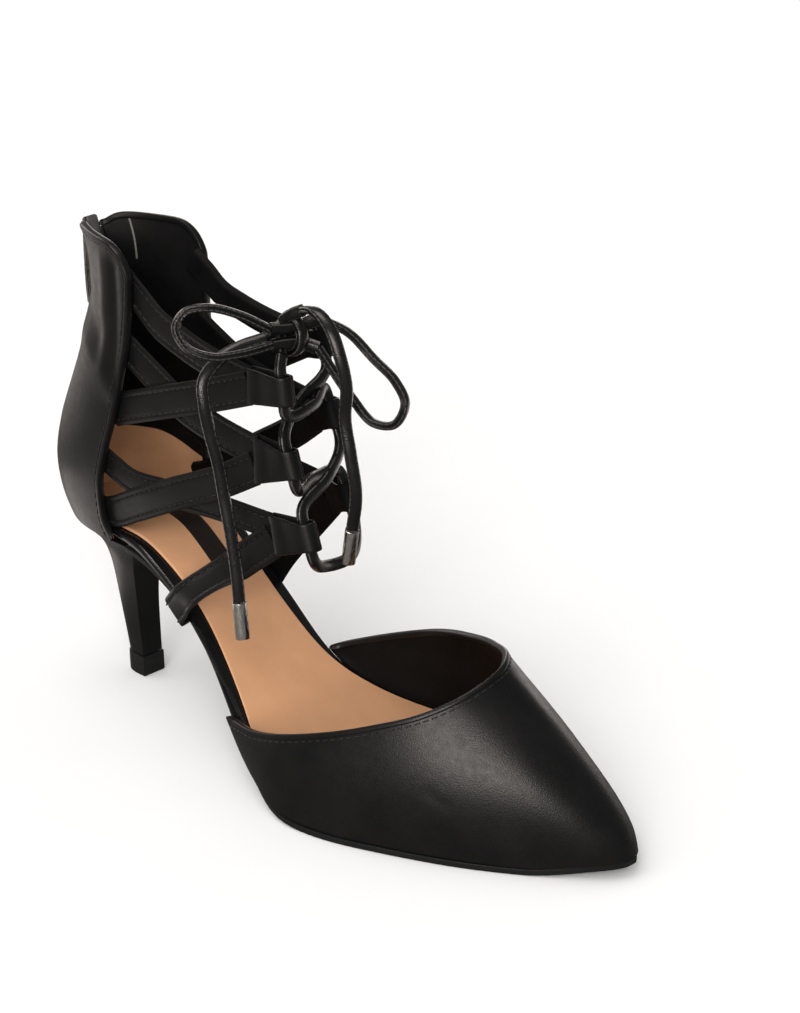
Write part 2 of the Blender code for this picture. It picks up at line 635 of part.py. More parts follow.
def make_straps(name, side):
    """Three V shapes of straps with their loops, joined where they cross. Gives the loops' places."""
    solids, bores, loops = [], [], []
    for row, shift in zip(STRAPS, MEDIAL_SHIFTS):
        shift = shift if side == MEDIAL else (0.0, 0.0)
        loop = row["loop"]
        for leg in ("upper", "lower"):
            places = shifted(row[leg], loop, shift)
            width = row[leg + "_width"]
            solids.append(ribbon(f"{name} {leg}", side, places, (width, width),
                                 (STRAP_WALL, STRAP_WALL), row[leg + "_lift"], 15)[0])
        merge = row["upper"][-1]
        middle = (0.5 * (merge[0] + loop[0]), 0.5 * (row["lower"][-1][1] + loop[1]))
        tab = shifted([row["upper"][0], merge, middle, loop], loop, shift)[1:]
        solid, centre, across = ribbon(f"{name} tab", side, tab, (TAB_WIDTH, LOOP_HEIGHT),
                                       (STRAP_WALL + GAP, 1.9 * LOOP_RADIUS), 0.0, 6)
        upwards = across if across[2] > 0.0 else -across
        reach = 0.5 * LOOP_HEIGHT * upwards
        solids.append(solid)
        solids.append(rod(f"{name} loop", centre - 0.98 * reach, centre + 0.98 * reach, LOOP_RADIUS, LEATHER))
        bores.append(rod(f"{name} bore", centre - 2.0 * reach, centre + 2.0 * reach, LOOP_BORE, LEATHER))
        loops.append((centre, upwards))
    straps = combine(solids[0], solids[1:], "UNION")
    straps = combine(straps, bores, "DIFFERENCE")
    straps.name = name
    return loops


# Zip
def back_frame(height):
    """Point of the counter's back line with its upward and outward directions."""
    point = np.array([COUNTER_CURVES["back"](height), 0.0, height])
    step = 0.5
    above = np.array([COUNTER_CURVES["back"](height + step), 0.0, height + step])
    below = np.array([COUNTER_CURVES["back"](height - step), 0.0, height - step])
    upwards = unit(above - below)
    outwards = np.array([-upwards[2], 0.0, upwards[0]])
    return point, upwards, outwards


def make_zip_chain():
    """Tape and closed teeth in the slit of the counter."""
    loops = []
    for height in np.linspace(ZIP_FOOT_Z + CHAIN_LIFT, SLIDER_Z - 0.5 * SLIDER_LENGTH - GAP, 22):
        point, _, outwards = back_frame(height)
        loops.append([point + outwards * out + np.array([0.0, y, 0.0]) for y, out in CHAIN_PROFILE])
    loft("zip_chain", loops, TAPE)


def prism(name, frame, profile, half_width, finish):
    """Profile of outward and upward places in a frame, drawn out to both sides."""
    point, upwards, outwards = frame
    loops = []
    for y in (-half_width, half_width):
        loops.append([point + outwards * n + upwards * t + np.array([0.0, y, 0.0]) for n, t in profile])
    return loft(name, loops, finish, 20.0)


def make_zip_slider():
    """Slider body with its bail. Gives the place of the pull's cross bar."""
    frame = back_frame(SLIDER_Z)
    slider = prism("zip_slider", frame, SLIDER_PROFILE, SLIDER_HALF, METAL)
    combine(slider, [prism("bail", frame, BAIL_PROFILE, BAIL_HALF, METAL)], "UNION")
    point, upwards, outwards = frame
    return point + outwards * PULL_BAR_PLACE[0] + upwards * PULL_BAR_PLACE[1]


def make_zip_pull(bar):
    """Metal tab that hangs from the bail, with an eye round it. Its origin is on the bar."""
    outline = list(PULL_SIDE) + [(z, -y) for z, y in PULL_SIDE[::-1]]
    loops = []
    for side in (-0.5, 0.5):
        loops.append([(side * PULL_WALL, y, z) for z, y in outline])
    pull = loft("zip_pull", loops, METAL, 20.0)
    upright = (np.zeros(3), np.array([0.0, 0.0, 1.0]), np.array([-1.0, 0.0, 0.0]))
    combine(pull, [prism("eye", upright, EYE_PROFILE, EYE_HALF, METAL)], "DIFFERENCE")
    pull.location = [float(v) * MM for v in bar]


# Lace
def tube(name, points, diameter):
    """Round cord along points, with closed ends."""
    data = bpy.data.curves.new(name, "CURVE")
    data.dimensions = "3D"
    data.bevel_depth = 0.5 * diameter * MM
    data.bevel_resolution = 2
    data.use_fill_caps = True
    line = data.splines.new("POLY")
    line.points.add(len(points) - 1)
    for spot, point in zip(line.points, points):
        spot.co = (*(float(v) * MM for v in point), 1.0)
    made = bpy.data.objects.new(name, data)
    bpy.context.scene.collection.objects.link(made)
    data.materials.append(material(*CORD))
    return made


def smooth_route(points, spacing):
    """Evenly spaced points about the given spacing apart on the curve of a route."""
    length = np.linalg.norm(np.diff(np.asarray(points, dtype=float), axis=0), axis=1).sum()
    return curve_through(points, max(4, int(round(length / spacing)) + 1))


def lace_route(outer, inner):
    """Route of the lace from the knot down through the loops, over the lower bar and up again."""
    def through(loop, upwards):
        centre, axis = loop
        reach = axis * (0.5 * LOOP_HEIGHT + LACE_STRAIGHT)
        ends = [centre - reach, centre, centre + reach]
        return ends if upwards else ends[::-1]

    def crossing(start, end, forward):
        return [0.5 * (start + end) + np.array([forward, 0.0, 0.0])]

    down = [through(outer[0], False), through(inner[1], False), through(outer[2], False)]
    up = [through(inner[2], True), through(outer[1], True), through(inner[0], True)]
    route = list(down[0])
    for before, after in zip(down, down[1:]):
        route += crossing(before[-1], after[0], LACE_FRONT) + after
    low = 0.5 * (down[-1][-1] + up[0][0])
    for y in (-LACE_BAR_HALF, LACE_BAR_HALF):
        route.append(np.array([low[0] + LACE_BAR_FORWARD, low[1] + y, low[2] - LACE_BAR_DROP]))
    route += up[0]
    for before, after in zip(up, up[1:]):
        route += crossing(before[-1], after[0], LACE_BEHIND) + after
    return [np.array(KNOT_FROM_OUTER)] + route + [np.array(KNOT_FROM_INNER)]


def make_knot():
    """Bow knot: a short body with a wrap round its middle."""
    centre = np.array(KNOT_CENTRE)
    loops = []
    for y, radius in KNOT_PROFILE:
        ring = []
        for angle in np.linspace(0.0, 2.0 * math.pi, 16, endpoint=False):
            ring.append(centre + np.array([radius * math.cos(angle), y, radius * math.sin(angle)]))
        loops.append(ring)
    loft("lace_knot", loops, CORD)


def make_lace(outer, inner):
    """Lace through the loops, knot, bow loops, ends and aglets."""
    tube("lace_crossings", smooth_route(lace_route(outer, inner), 4.6), LACE_DIAMETER)
    make_knot()
    for name, route in BOW_LOOPS.items():
        tube(name, smooth_route(route, 6.0), LACE_DIAMETER)
    for side, route in LACE_ENDS.items():
        points = smooth_route(route, 7.0)
        tube(f"lace_end_{side}", points, LACE_DIAMETER)
        away = unit(points[-1] - points[-2])
        start = points[-1] + away * GAP
        rod(f"aglet_{side}", start, start + away * AGLET_LENGTH, 0.5 * AGLET_DIAMETER, METAL, 14, 0.96)


def main():
    """Build the shoe in an empty scene."""
    for old in list(bpy.data.objects):
        bpy.data.objects.remove(old, do_unlink=True)
    make_sole_unit()
    make_heel()
    make_vamp()
    make_counter()
    outer_loops = make_straps("straps_lateral", LATERAL)
    inner_loops = make_straps("straps_medial", MEDIAL)
    make_zip_chain()
    make_zip_pull(make_zip_slider())
    make_lace(outer_loops, inner_loops)


main()
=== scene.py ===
"""Looks of a right pump with laced ankle straps, a slim heel and a back zip.

Tables are in millimetres, in the frame of the solids: +X to the toe, +Y to the
inner side of the foot, +Z up. Finished meshes are in metres.
"""
import math
from contextlib import contextmanager

import bpy
import numpy as np
from mathutils import Matrix, Vector
from mathutils.bvhtree import BVHTree


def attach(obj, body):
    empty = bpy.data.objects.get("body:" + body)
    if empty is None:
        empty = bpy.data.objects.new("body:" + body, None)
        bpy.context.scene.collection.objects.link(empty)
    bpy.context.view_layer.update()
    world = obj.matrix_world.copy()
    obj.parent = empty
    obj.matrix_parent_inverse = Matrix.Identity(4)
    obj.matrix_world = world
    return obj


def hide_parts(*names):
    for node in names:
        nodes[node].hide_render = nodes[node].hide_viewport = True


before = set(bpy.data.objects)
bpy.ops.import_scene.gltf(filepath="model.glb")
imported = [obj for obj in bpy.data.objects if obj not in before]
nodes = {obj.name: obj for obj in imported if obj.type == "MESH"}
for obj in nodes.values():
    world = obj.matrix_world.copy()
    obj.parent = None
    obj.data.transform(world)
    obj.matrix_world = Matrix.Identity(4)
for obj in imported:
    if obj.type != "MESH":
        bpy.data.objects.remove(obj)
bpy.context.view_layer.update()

MM = 0.001
OUTER, INNER = -1.0, 1.0

# Counter: height, back, outer front, outer half, inner front, inner half, fullness
COUNTER = (
    (57.0, -155.2, -118.0, 22.9, -117.0, 21.2, 2.2),
    (66.0, -160.6, -121.0, 23.8, -119.0, 22.2, 2.2),
    (76.0, -162.6, -121.5, 24.0, -120.0, 22.4, 2.2),
    (87.0, -161.2, -119.5, 23.2, -118.5, 21.8, 2.1),
    (99.0, -157.2, -116.0, 21.8, -115.5, 20.6, 2.0),
    (114.0, -151.0, -112.5, 20.0, -112.5, 19.2, 1.9),
    (130.0, -146.2, -110.0, 18.4, -111.0, 18.0, 1.8),
    (141.0, -144.8, -109.0, 17.6, -110.5, 17.4, 1.75),
    (150.0, -146.4, -108.5, 17.4, -110.5, 17.4, 1.7),
    (158.0, -149.6, -109.0, 17.6, -111.0, 17.8, 1.7),
)
COUNTER_WALL = 1.9
COUNTER_FOOT_Z = 57.3
COUNTER_MIDDLE = (-128.0, 0.0, 0.0)
COUNTER_PROBE = (-2.5, 0.0, -2.5)
COUNTER_STITCH_OUT = 0.3
COUNTER_INSIDE_X = -118.0
COLLAR_Z = 157.5
EAR_DROP = 10.0
EAR_START = 0.68
EAR_POWER = 2.4
RIM_SPACING = 1.4
FRONT_EDGE_STEPS = 60
COLLAR_STEPS = 40
# Corners of the collar beside the zip: start, run, depth and width of their dip
DIP_START_Z = 146.0
DIP_RUN = 11.0
DIP_DEPTH = 3.4
DIP_WIDTH = 3.4
# Soft folds on the outer side of the counter: line, reach and shift
COUNTER_FOLDS = (
    (((-116.5, -17.0, 150.0), (-116.0, -17.4, 138.0), (-115.5, -18.6, 126.0), (-116.5, -19.6, 118.0)),
     2.4, (0.0, 0.9, 0.0)),
    (((-124.0, -15.2, 149.0), (-123.0, -16.6, 134.0), (-121.0, -18.8, 117.0)), 3.2, (-0.2, -0.5, 0.0)),
    (((-148.0, -8.0, 124.0), (-140.0, -14.0, 121.0), (-128.0, -18.6, 116.0), (-115.0, -20.4, 109.5)),
     4.2, (-0.3, -0.7, 0.0)),
    (((-143.0, -9.0, 136.0), (-134.0, -14.2, 131.0), (-126.0, -17.0, 126.0)), 5.0, (0.3, 0.6, 0.0)),
)

# Throat line of the vamp from its outer end over the instep to its inner end
THROAT = (
    (-51.5, -31.6, 20.6), (-34.0, -36.2, 23.2), (-8.4, -34.6, 31.0), (9.0, -28.2, 37.4),
    (22.6, -19.4, 43.2), (30.0, -9.0, 48.6), (31.0, 1.5, 51.8), (25.5, 10.0, 52.0),
    (12.5, 19.0, 48.4), (-2.5, 26.4, 43.2), (-25.3, 30.6, 36.4), (-40.0, 25.2, 32.0),
    (-57.0, 17.6, 26.0),
)
THROAT_STEPS = 121
THROAT_MIDDLE = (-20.0, 2.0)
THROAT_PROBE_OUT, THROAT_PROBE_UP = 1.9, -2.1
VAMP_WALL = 1.5
VAMP_STITCH_OUT = 0.2
VAMP_INSIDE = (45.0, 4.0, 12.0)
# Short crease on the outer side of the vamp: line, reach and shift
VAMP_CREASE = (((30.5, -27.4, 22.6), (32.9, -26.6, 21.0), (35.5, -25.6, 19.7)), 1.6, (-0.02, 0.11, -0.04))

# Ankle straps as places (x, z) seen from the side
STRAPS = (
    {"upper": ((-114.0, 145.6), (-107.0, 141.2), (-98.5, 135.5), (-86.0, 131.2), (-70.0, 127.4),
               (-56.0, 125.4)),
     "lower": ((-117.5, 102.2), (-111.0, 104.5), (-92.5, 110.9), (-74.0, 117.2), (-56.0, 123.8)),
     "loop": (-43.5, 125.4),
     "upper_width": 9.6, "upper_lift": 0.0, "lower_width": 9.8, "lower_lift": 0.6},
    {"upper": ((-113.5, 124.2), (-107.5, 121.0), (-97.0, 115.8), (-88.0, 111.5), (-71.0, 107.0),
               (-54.0, 103.8)),
     "lower": ((-123.5, 66.1), (-119.5, 67.0), (-106.0, 73.2), (-88.0, 81.8), (-66.0, 91.7),
               (-53.0, 99.0)),
     "loop": (-40.5, 102.8),
     "upper_width": 9.8, "upper_lift": -0.7, "lower_width": 9.8, "lower_lift": 0.6},
    {"upper": ((-125.0, 85.6), (-119.3, 83.8), (-110.0, 80.8), (-90.0, 81.2), (-68.0, 82.2),
               (-46.0, 81.6)),
     "lower": ((-86.5, 41.6), (-74.2, 54.2), (-57.7, 67.6), (-45.0, 77.6)),
     "loop": (-33.0, 81.4),
     "upper_width": 7.8, "upper_lift": -0.7, "lower_width": 10.0, "lower_lift": 0.4},
)
INNER_SHIFTS = ((-8.5, 7.2), (-8.0, 7.4), (-11.5, 1.8))
STRAP_WALL = 1.8
STRAP_SEAT = 3.6
STRAP_LIFT_START = 0.3
STRAP_STEPS = 57
LOOP_STEPS = 13
STRAP_STITCH_IN = 1.6
STRAP_STITCH_OUT = 1.1
LACING = ((60.0, -22.0), (80.0, -26.0), (102.0, -34.0), (126.0, -37.0), (150.0, -40.0))
LACING_HALF = 10.0
LACING_SET_BACK = -7.0
# Edge of the board where the lowest straps turn round it: x, outer half, inner half
BOARD_EDGE = ((-110.0, 23.2, 20.0), (-91.7, 23.6, 17.0), (-73.3, 26.0, 15.2), (-55.0, 30.6, 17.6),
              (-36.7, 36.4, 26.9), (-18.3, 41.4, 36.6))
BOARD_WRAP_TOP = 66.0
BOARD_WRAP_RUN = 17.0
BOARD_WRAP_BACK = -105.0
STRAP_OFF_BOARD = 0.8
LOOP_HEIGHT = 9.6
# Across a strap: shares of its width and how far the leather swells there
LEG_ROWS = (0.0, 0.04, 0.085, 0.15, 0.22, 0.5, 0.78, 0.85, 0.915, 0.96, 1.0)
LEG_SWELL = (-0.05, 0.22, 0.20, -0.14, 0.04, 0.12, 0.04, -0.14, 0.20, 0.22, -0.05)
# Tab round the lace as places ahead of the loop's middle and out from it
TAB_PATH = ((-14.6, 0.8), (-13.6, 1.35), (-11.5, 1.75), (-8.0, 2.0), (-4.5, 2.5), (-2.0, 2.8), (0.8, 2.75),
            (2.5, 1.75), (3.1, 0.0), (2.5, -1.75), (0.8, -2.7), (-2.0, -2.6), (-4.5, -2.1), (-8.0, -1.7),
            (-11.5, -1.5), (-14.6, -1.2))
TAB_STEPS = 44
TAB_ROWS = 8
TAB_REACH = 12.8
TAB_WALL = 1.0
TAB_LOOP_WIDTH = 9.0
# Fold of the lowest straps round the board: direction of its edge, bend, place, length past it
# and the share of the strap over which its end is cut level with the edge
BOARD_EDGE_WAY = (0.83, -0.11, -0.54)
FOLD_RADIUS = 1.5
FOLD_TUCK = 3.2
FOLD_LENGTH = 4.4
FOLD_SPREAD = 0.25

# Lace
LACE_WIDTH = 3.9
LACE_THICKNESS = 2.7
LACE_STEPS = 250
LACE_SPACING = 1.0
CORD_SIDES = 16
CORD_SQUARENESS = 0.8
LACE_STRAIGHT = 2.6
LACE_FRONT = 3.2
LACE_BEHIND = -2.4
LACE_BAR = (2.0, 5.0, 7.0)
LACE_LEAN = (1.0, 0.0, 0.15)
LACE_END_BROAD = (0.7, 0.7, 0.0)
BOW_LOOPS = {
    "bow_loop_left": (
        (-50.3, -10.6, 142.9), (-55.0, -18.0, 148.0), (-60.5, -26.0, 151.0), (-64.5, -31.5, 150.0),
        (-65.8, -34.0, 146.0), (-63.0, -33.5, 140.5), (-57.5, -29.0, 137.2), (-52.5, -20.5, 137.0),
        (-49.0, -11.0, 138.1)),
    "bow_loop_right": (
        (-43.9, 4.0, 144.1), (-36.0, 8.0, 140.5), (-28.0, 11.0, 133.0), (-20.0, 12.0, 127.5),
        (-15.0, 11.0, 122.0), (-18.0, 9.0, 115.0), (-24.0, 7.0, 114.5), (-32.0, 5.0, 121.5),
        (-38.0, 3.0, 129.5), (-42.0, 1.2, 135.8)),
}
LACE_ENDS = {
    "left": (
        (-54.7, -8.4, 138.5), (-58.5, -15.5, 136.6), (-61.0, -23.0, 133.0), (-61.5, -28.0, 128.0),
        (-60.0, -29.3, 121.0), (-58.5, -28.8, 112.0), (-56.5, -28.2, 104.0), (-54.0, -28.2, 92.0),
        (-51.0, -28.6, 80.0), (-48.5, -29.3, 68.0), (-47.3, -29.8, 60.5)),
    "right": (
        (-45.2, -1.5, 147.7), (-39.0, -2.5, 149.0), (-31.5, -3.5, 145.5), (-27.0, -4.0, 138.0),
        (-25.0, -3.5, 128.0), (-26.0, -3.5, 119.0), (-23.5, -4.0, 108.0), (-21.5, -4.0, 95.0),
        (-23.5, -4.0, 83.5)),
}
KNOT_CENTRE = (-48.5, -2.5, 139.4)
KNOT_FROM_OUTER = (-46.2, -9.9, 134.9)
KNOT_FROM_INNER = (-50.3, 6.3, 141.2)
# Middle points of the strands inside the knot, between the ends that they join
KNOT_STRANDS = (
    (BOW_LOOPS["bow_loop_left"][0], (-48.6, -5.5, 142.2), (-46.6, -0.5, 142.4),
     BOW_LOOPS["bow_loop_right"][0]),
    (BOW_LOOPS["bow_loop_left"][-1], (-47.2, -6.0, 138.0), (-45.4, -1.5, 137.2),
     BOW_LOOPS["bow_loop_right"][-1]),
    (LACE_ENDS["left"][0], (-52.6, -4.5, 139.6), (-51.6, 0.5, 140.2), KNOT_FROM_INNER),
    (LACE_ENDS["right"][0], (-48.2, -3.0, 146.2), (-52.0, -4.0, 142.6), (-50.6, -6.6, 137.2),
     KNOT_FROM_OUTER),
)
KNOT_STRAND_STEPS = 22
KNOT_STRAND_BROAD = (0.3, 0.2, 1.0)
KNOT_STRAND_THICKNESS = 3.4
WRAP_RADIUS = 4.7
WRAP_LEAN = 1.9
WRAP_LEAN_START = 0.6
WRAP_TURNS = (-0.6 * math.pi, 1.6 * math.pi)
WRAP_STEPS = 44
WRAP_THICKNESS = 3.0
AGLET_LENGTH = 11.5
AGLET_DIAMETER = 5.0
AGLET_SIDES = 16
AGLET_RIM = 0.45
AGLET_HOLLOW = 0.7
AGLET_HOLLOW_TAPER = 0.02
AGLET_FLAT = 2.15
AGLET_FACE = (0.65, -0.65, 0.4)
AGLET_GAP = 0.2

# Stitches
STITCH_RADIUS = 0.3
STITCH_LENGTH = 2.0
STITCH_ROUNDING = 0.16
STITCH_DIP = 0.22
STITCH_LIFT = 0.08
STRAP_PITCH = 2.7
UPPER_PITCH = 2.8
FOLD_STITCH = 2.3
FOLD_WALL = 0.24

# Zip
ZIP_SLOT_HALF = 3.6
ZIP_FOOT_Z = 78.4
ZIP_HEAD_Z = 148.0
ZIP_STITCH_Z = (80.0, 152.0)
ZIP_STITCH_SIDE = 1.7
ZIP_STITCH_STEPS = 24
TAPE_HEAD_Z = 152.6
TAPE_STEPS = 60
TAPE_ROWS = 4
TAPE_WIDTH = 9.0
TAPE_WALL = 0.8
TAPE_DEPTH = 1.0
TOOTH_SIZE = (0.85, 1.9, 1.2)
TOOTH_ROUNDING = 0.22
TOOTH_SIDE = 0.55
FIRST_TOOTH = 0.8
LAST_TOOTH = 0.4
SLIDER_Z = 152.6
SLIDER_CUT = (6.0, 3.0, 1.2)
SLIDER_CUT_UP, SLIDER_CUT_IN, SLIDER_CUT_SIDE = 3.2, 0.5, 2.3
# Slider's taper: distances from its middle and the share of its width there
SLIDER_TAPER = ((2.0, 4.3), (1.0, 0.66))

# Angles in degrees past which an edge is rounded or shaded sharp
SMOOTH_ANGLE = 40.0
SHELL_ANGLE = 50.0
SOLE_ANGLE = 32.0
METAL_ANGLE = 30.0
STITCH_ANGLE = 60.0
# Copies of solids: distance of doubles in metres, and angles for pairing triangles
DOUBLES = 1e-5
CORD_DOUBLES = 1e-6
PAIR_FACES = 45.0
PAIR_SHAPES = 60.0
PRESS_REACHES = 3.0
EDGE_PASSES = 6
FINE_STEPS = 24
FACING_INSIDE = 0.25


# Curves and surfaces
def unit(vectors):
    """Vectors scaled to length one."""
    size = np.linalg.norm(vectors, axis=-1, keepdims=True)
    return vectors / np.maximum(size, 1e-9)


def hermite(t, width, start, end, slope_in, slope_out):
    """Cubic from start to end with the given slopes, at shares t of a width."""
    rest = 1.0 - t
    first = (1.0 + 2.0 * t) * rest ** 2 * start + t * rest ** 2 * width * slope_in
    return first + t * t * (3.0 - 2.0 * t) * end - t * t * rest * width * slope_out


def smooth_through(places, values):
    """Monotone cubic curve through values given at rising places."""
    knots = np.asarray(places, dtype=float)
    heights = np.asarray(values, dtype=float)
    steps = np.diff(knots)
    slopes = np.diff(heights) / steps
    before, after = slopes[:-1], slopes[1:]
    same_way = before * after > 0.0
    total = np.where(same_way, before + after, 1.0)
    inner = np.where(same_way, 2.0 * before * after / total, 0.0)
    tangents = np.concatenate(([slopes[0]], inner, [slopes[-1]]))

    def at(place):
        place = np.clip(place, knots[0], knots[-1])
        cell = np.clip(np.searchsorted(knots, place, side="right") - 1, 0, len(steps) - 1)
        t = (place - knots[cell]) / steps[cell]
        return hermite(t, steps[cell], heights[cell], heights[cell + 1], tangents[cell], tangents[cell + 1])

    return at


def columns_over_first(table):
    """Smooth curves of a table's columns over its first column."""
    rows = np.array(table, dtype=float)
    return [smooth_through(rows[:, 0], rows[:, n]) for n in range(1, rows.shape[1])]


def way_along(points):
    """Distance along a line of points, at each of them."""
    return np.concatenate(([0.0], np.cumsum(np.linalg.norm(np.diff(points, axis=0), axis=1))))


def curve_through(points, count):
    """Evenly spaced points on a smooth curve through the given points."""
    points = np.asarray(points, dtype=float)
    way = way_along(points)
    tangents = np.gradient(points, way, axis=0)
    fine = np.linspace(0.0, way[-1], FINE_STEPS * len(points))
    cell = np.clip(np.searchsorted(way, fine, side="right") - 1, 0, len(way) - 2)
    width = np.diff(way)[cell][:, None]
    t = (fine - way[cell])[:, None] / width
    curve = hermite(t, width, points[cell], points[cell + 1], tangents[cell], tangents[cell + 1])
    length = way_along(curve)
    even = np.linspace(0.0, length[-1], count)
    return np.stack([np.interp(even, length, curve[:, axis]) for axis in range(3)], axis=1)


def evenly(points, spacing):
    """Points about the given spacing apart on the curve of a route."""
    length = way_along(np.asarray(points, dtype=float))[-1]
    return curve_through(points, max(4, int(round(length / spacing)) + 1))


back_at, outer_front_at, outer_at, inner_front_at, inner_at, fullness_at = columns_over_first(COUNTER)
lacing_at = columns_over_first(LACING)[0]
board_outer_at, board_inner_at = columns_over_first(BOARD_EDGE)


def counter_edge(height, side):
    """Place of the counter's front edge and half its width there."""
    if side == OUTER:
        return outer_front_at(height), outer_at(height)
    return inner_front_at(height), inner_at(height)


def counter_point(height, side, y):
    """Point on the counter's outer face, y measured from the middle."""
    front, half = counter_edge(height, side)
    share = np.clip(y / half, 0.0, 1.0)
    power = fullness_at(height)
    x = front - (front - back_at(height)) * (1.0 - share ** power) ** (1.0 / power)
    return np.array([x, side * y, height], dtype=float)


def back_frame(height):
    """Point of the counter's back line with its upward and outward directions."""
    upwards = unit(np.array([back_at(height + 0.5) - back_at(height - 0.5), 0.0, 1.0]))
    return np.array([back_at(height), 0.0, height]), upwards, np.array([-upwards[2], 0.0, upwards[0]])


def ankle_half(x, z, side):
    """Half width of the surface on which the straps lie, at a place seen from the side."""
    front, half = counter_edge(z, side)
    lacing = lacing_at(z) + (LACING_SET_BACK if side == INNER else 0.0)
    share = np.clip((x - front) / (lacing - front), 0.0, 0.995)
    power = fullness_at(z)
    tucked = np.clip((front - x) / (front - back_at(z)), 0.0, 0.9)
    seat = half * (1.0 - tucked ** power) ** (1.0 / power) - STRAP_SEAT
    body = LACING_HALF + (seat - LACING_HALF) * np.sqrt(1.0 - share ** 2)
    edge = (board_outer_at if side == OUTER else board_inner_at)(x) + STRAP_OFF_BOARD
    low = np.clip((BOARD_WRAP_TOP - z) / BOARD_WRAP_RUN, 0.0, 1.0)
    low = low * low * (3.0 - 2.0 * low)
    return np.where(x > BOARD_WRAP_BACK, body + (edge - body) * low, body)


def strap_run(places, side, lift, count):
    """Middle line of a strap with its outward and crosswise directions."""
    flat = curve_through([(x, z, 0.0) for x, z in places], count)
    x, z = flat[:, 0], flat[:, 1]
    lifts = np.interp(np.linspace(0.0, 1.0, count), (0.0, STRAP_LIFT_START, 1.0), (0.0, lift, lift))
    slope_x = ankle_half(x + 0.5, z, side) - ankle_half(x - 0.5, z, side)
    slope_z = ankle_half(x, z + 0.5, side) - ankle_half(x, z - 0.5, side)
    normals = unit(np.column_stack([-slope_x, np.full(count, side), -slope_z]))
    points = np.column_stack([x, side * ankle_half(x, z, side), z]) + normals * lifts[:, None]
    along = unit(np.gradient(points, axis=0))
    across = unit(np.cross(normals, along))
    across *= np.where(across[:, 2:3] < 0.0, -1.0, 1.0)
    return points, normals, across


def shifted(points, loop, shift):
    """Points of a strap moved to the loop's shifted place, and not at all at the strap's start."""
    start, reach = points[0][0], loop[0] - points[0][0]
    return [(x + shift[0] * (x - start) / reach, z + shift[1] * (x - start) / reach) for x, z in points]


def strap_plan(side):
    """Legs of one side's straps as runs with their widths, and the loops' places and directions."""
    legs, loops = [], []
    for row, shift in zip(STRAPS, INNER_SHIFTS):
        shift = shift if side == INNER else (0.0, 0.0)
        loop = row["loop"]
        for leg in ("upper", "lower"):
            places = shifted(row[leg], loop, shift)
            legs.append((strap_run(places, side, row[leg + "_lift"], STRAP_STEPS), row[leg + "_width"]))
        merge = row["upper"][-1]
        middle = (0.5 * (merge[0] + loop[0]), 0.5 * (row["lower"][-1][1] + loop[1]))
        places = shifted([row["upper"][0], merge, middle, loop], loop, shift)[1:]
        points, _, across = strap_run(places, side, 0.0, LOOP_STEPS)
        loops.append((points[-1], across[-1]))
    return legs, loops


# Modelling tools
def only(thing):
    """Select one object alone and make it active."""
    bpy.ops.object.select_all(action="DESELECT")
    thing.select_set(True)
    bpy.context.view_layer.objects.active = thing
    return thing


def added(operator, **settings):
    """Object that an operator adds, with everything else deselected."""
    bpy.ops.object.select_all(action="DESELECT")
    operator(**settings)
    return bpy.context.object


@contextmanager
def editing(thing):
    """Edit mode on one object, with all of it selected."""
    only(thing)
    bpy.ops.object.mode_set(mode="EDIT")
    bpy.ops.mesh.select_all(action="SELECT")
    yield
    bpy.ops.object.mode_set(mode="OBJECT")


def use(thing, kind, **settings):
    """Add a modifier with its settings and apply it."""
    only(thing)
    step = thing.modifiers.new(kind.lower(), kind)
    for setting, value in settings.items():
        setattr(step, setting, value)
    bpy.ops.object.modifier_apply(modifier=step.name)
    return thing


def rounded(thing, width, segments, levels, angle=SMOOTH_ANGLE):
    """Round the hard edges of a piece and subdivide it."""
    use(thing, "BEVEL", width=width * MM, segments=segments, limit_method="ANGLE",
        angle_limit=math.radians(angle), use_clamp_overlap=True)
    return use(thing, "SUBSURF", levels=levels, render_levels=levels)


def settle(thing, name, materials, body="shoe", stands_for=()):
    """Name a finished piece, give it its finish and let it ride on its body."""
    thing.name = name
    thing.data.name = name
    only(thing)
    bpy.ops.object.shade_smooth_by_angle(angle=math.radians(SMOOTH_ANGLE))
    thing.data.materials.clear()
    for material in materials:
        thing.data.materials.append(material)
    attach(thing, body)
    if stands_for:
        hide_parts(*stands_for)
    return thing


def linked(name, mesh):
    """New object with a mesh, in the scene."""
    thing = bpy.data.objects.new(name, mesh)
    bpy.context.scene.collection.objects.link(thing)
    return thing


def solid_copy(node):
    """Copy of a solid with its doubles merged and its triangles paired."""
    thing = linked(node + "_copy", nodes[node].data.copy())
    with editing(thing):
        bpy.ops.mesh.customdata_custom_splitnormals_clear()
        bpy.ops.mesh.remove_doubles(threshold=DOUBLES)
        bpy.ops.mesh.tris_convert_to_quads(face_threshold=math.radians(PAIR_FACES),
                                           shape_threshold=math.radians(PAIR_SHAPES))
    return thing


def laid_grid(columns, rows, place):
    """Grid whose points are laid where place says, from their column and row."""
    thing = added(bpy.ops.mesh.primitive_grid_add, x_subdivisions=columns, y_subdivisions=rows, size=2.0)
    for vertex in thing.data.vertices:
        column = round(0.5 * (vertex.co.x + 1.0) * columns)
        row = round(0.5 * (vertex.co.y + 1.0) * rows)
        vertex.co = Vector(place(column, row)) * MM
    return thing


def joined(things):
    """Several objects made one."""
    bpy.ops.object.select_all(action="DESELECT")
    for thing in things:
        thing.select_set(True)
    bpy.context.view_layer.objects.active = things[0]
    bpy.ops.object.join()
    return bpy.context.object


def surface_of(thing):
    """Tree of a finished mesh for finding the nearest place on it."""
    points = [vertex.co.copy() for vertex in thing.data.vertices]
    return BVHTree.FromPolygons(points, [tuple(face.vertices) for face in thing.data.polygons])


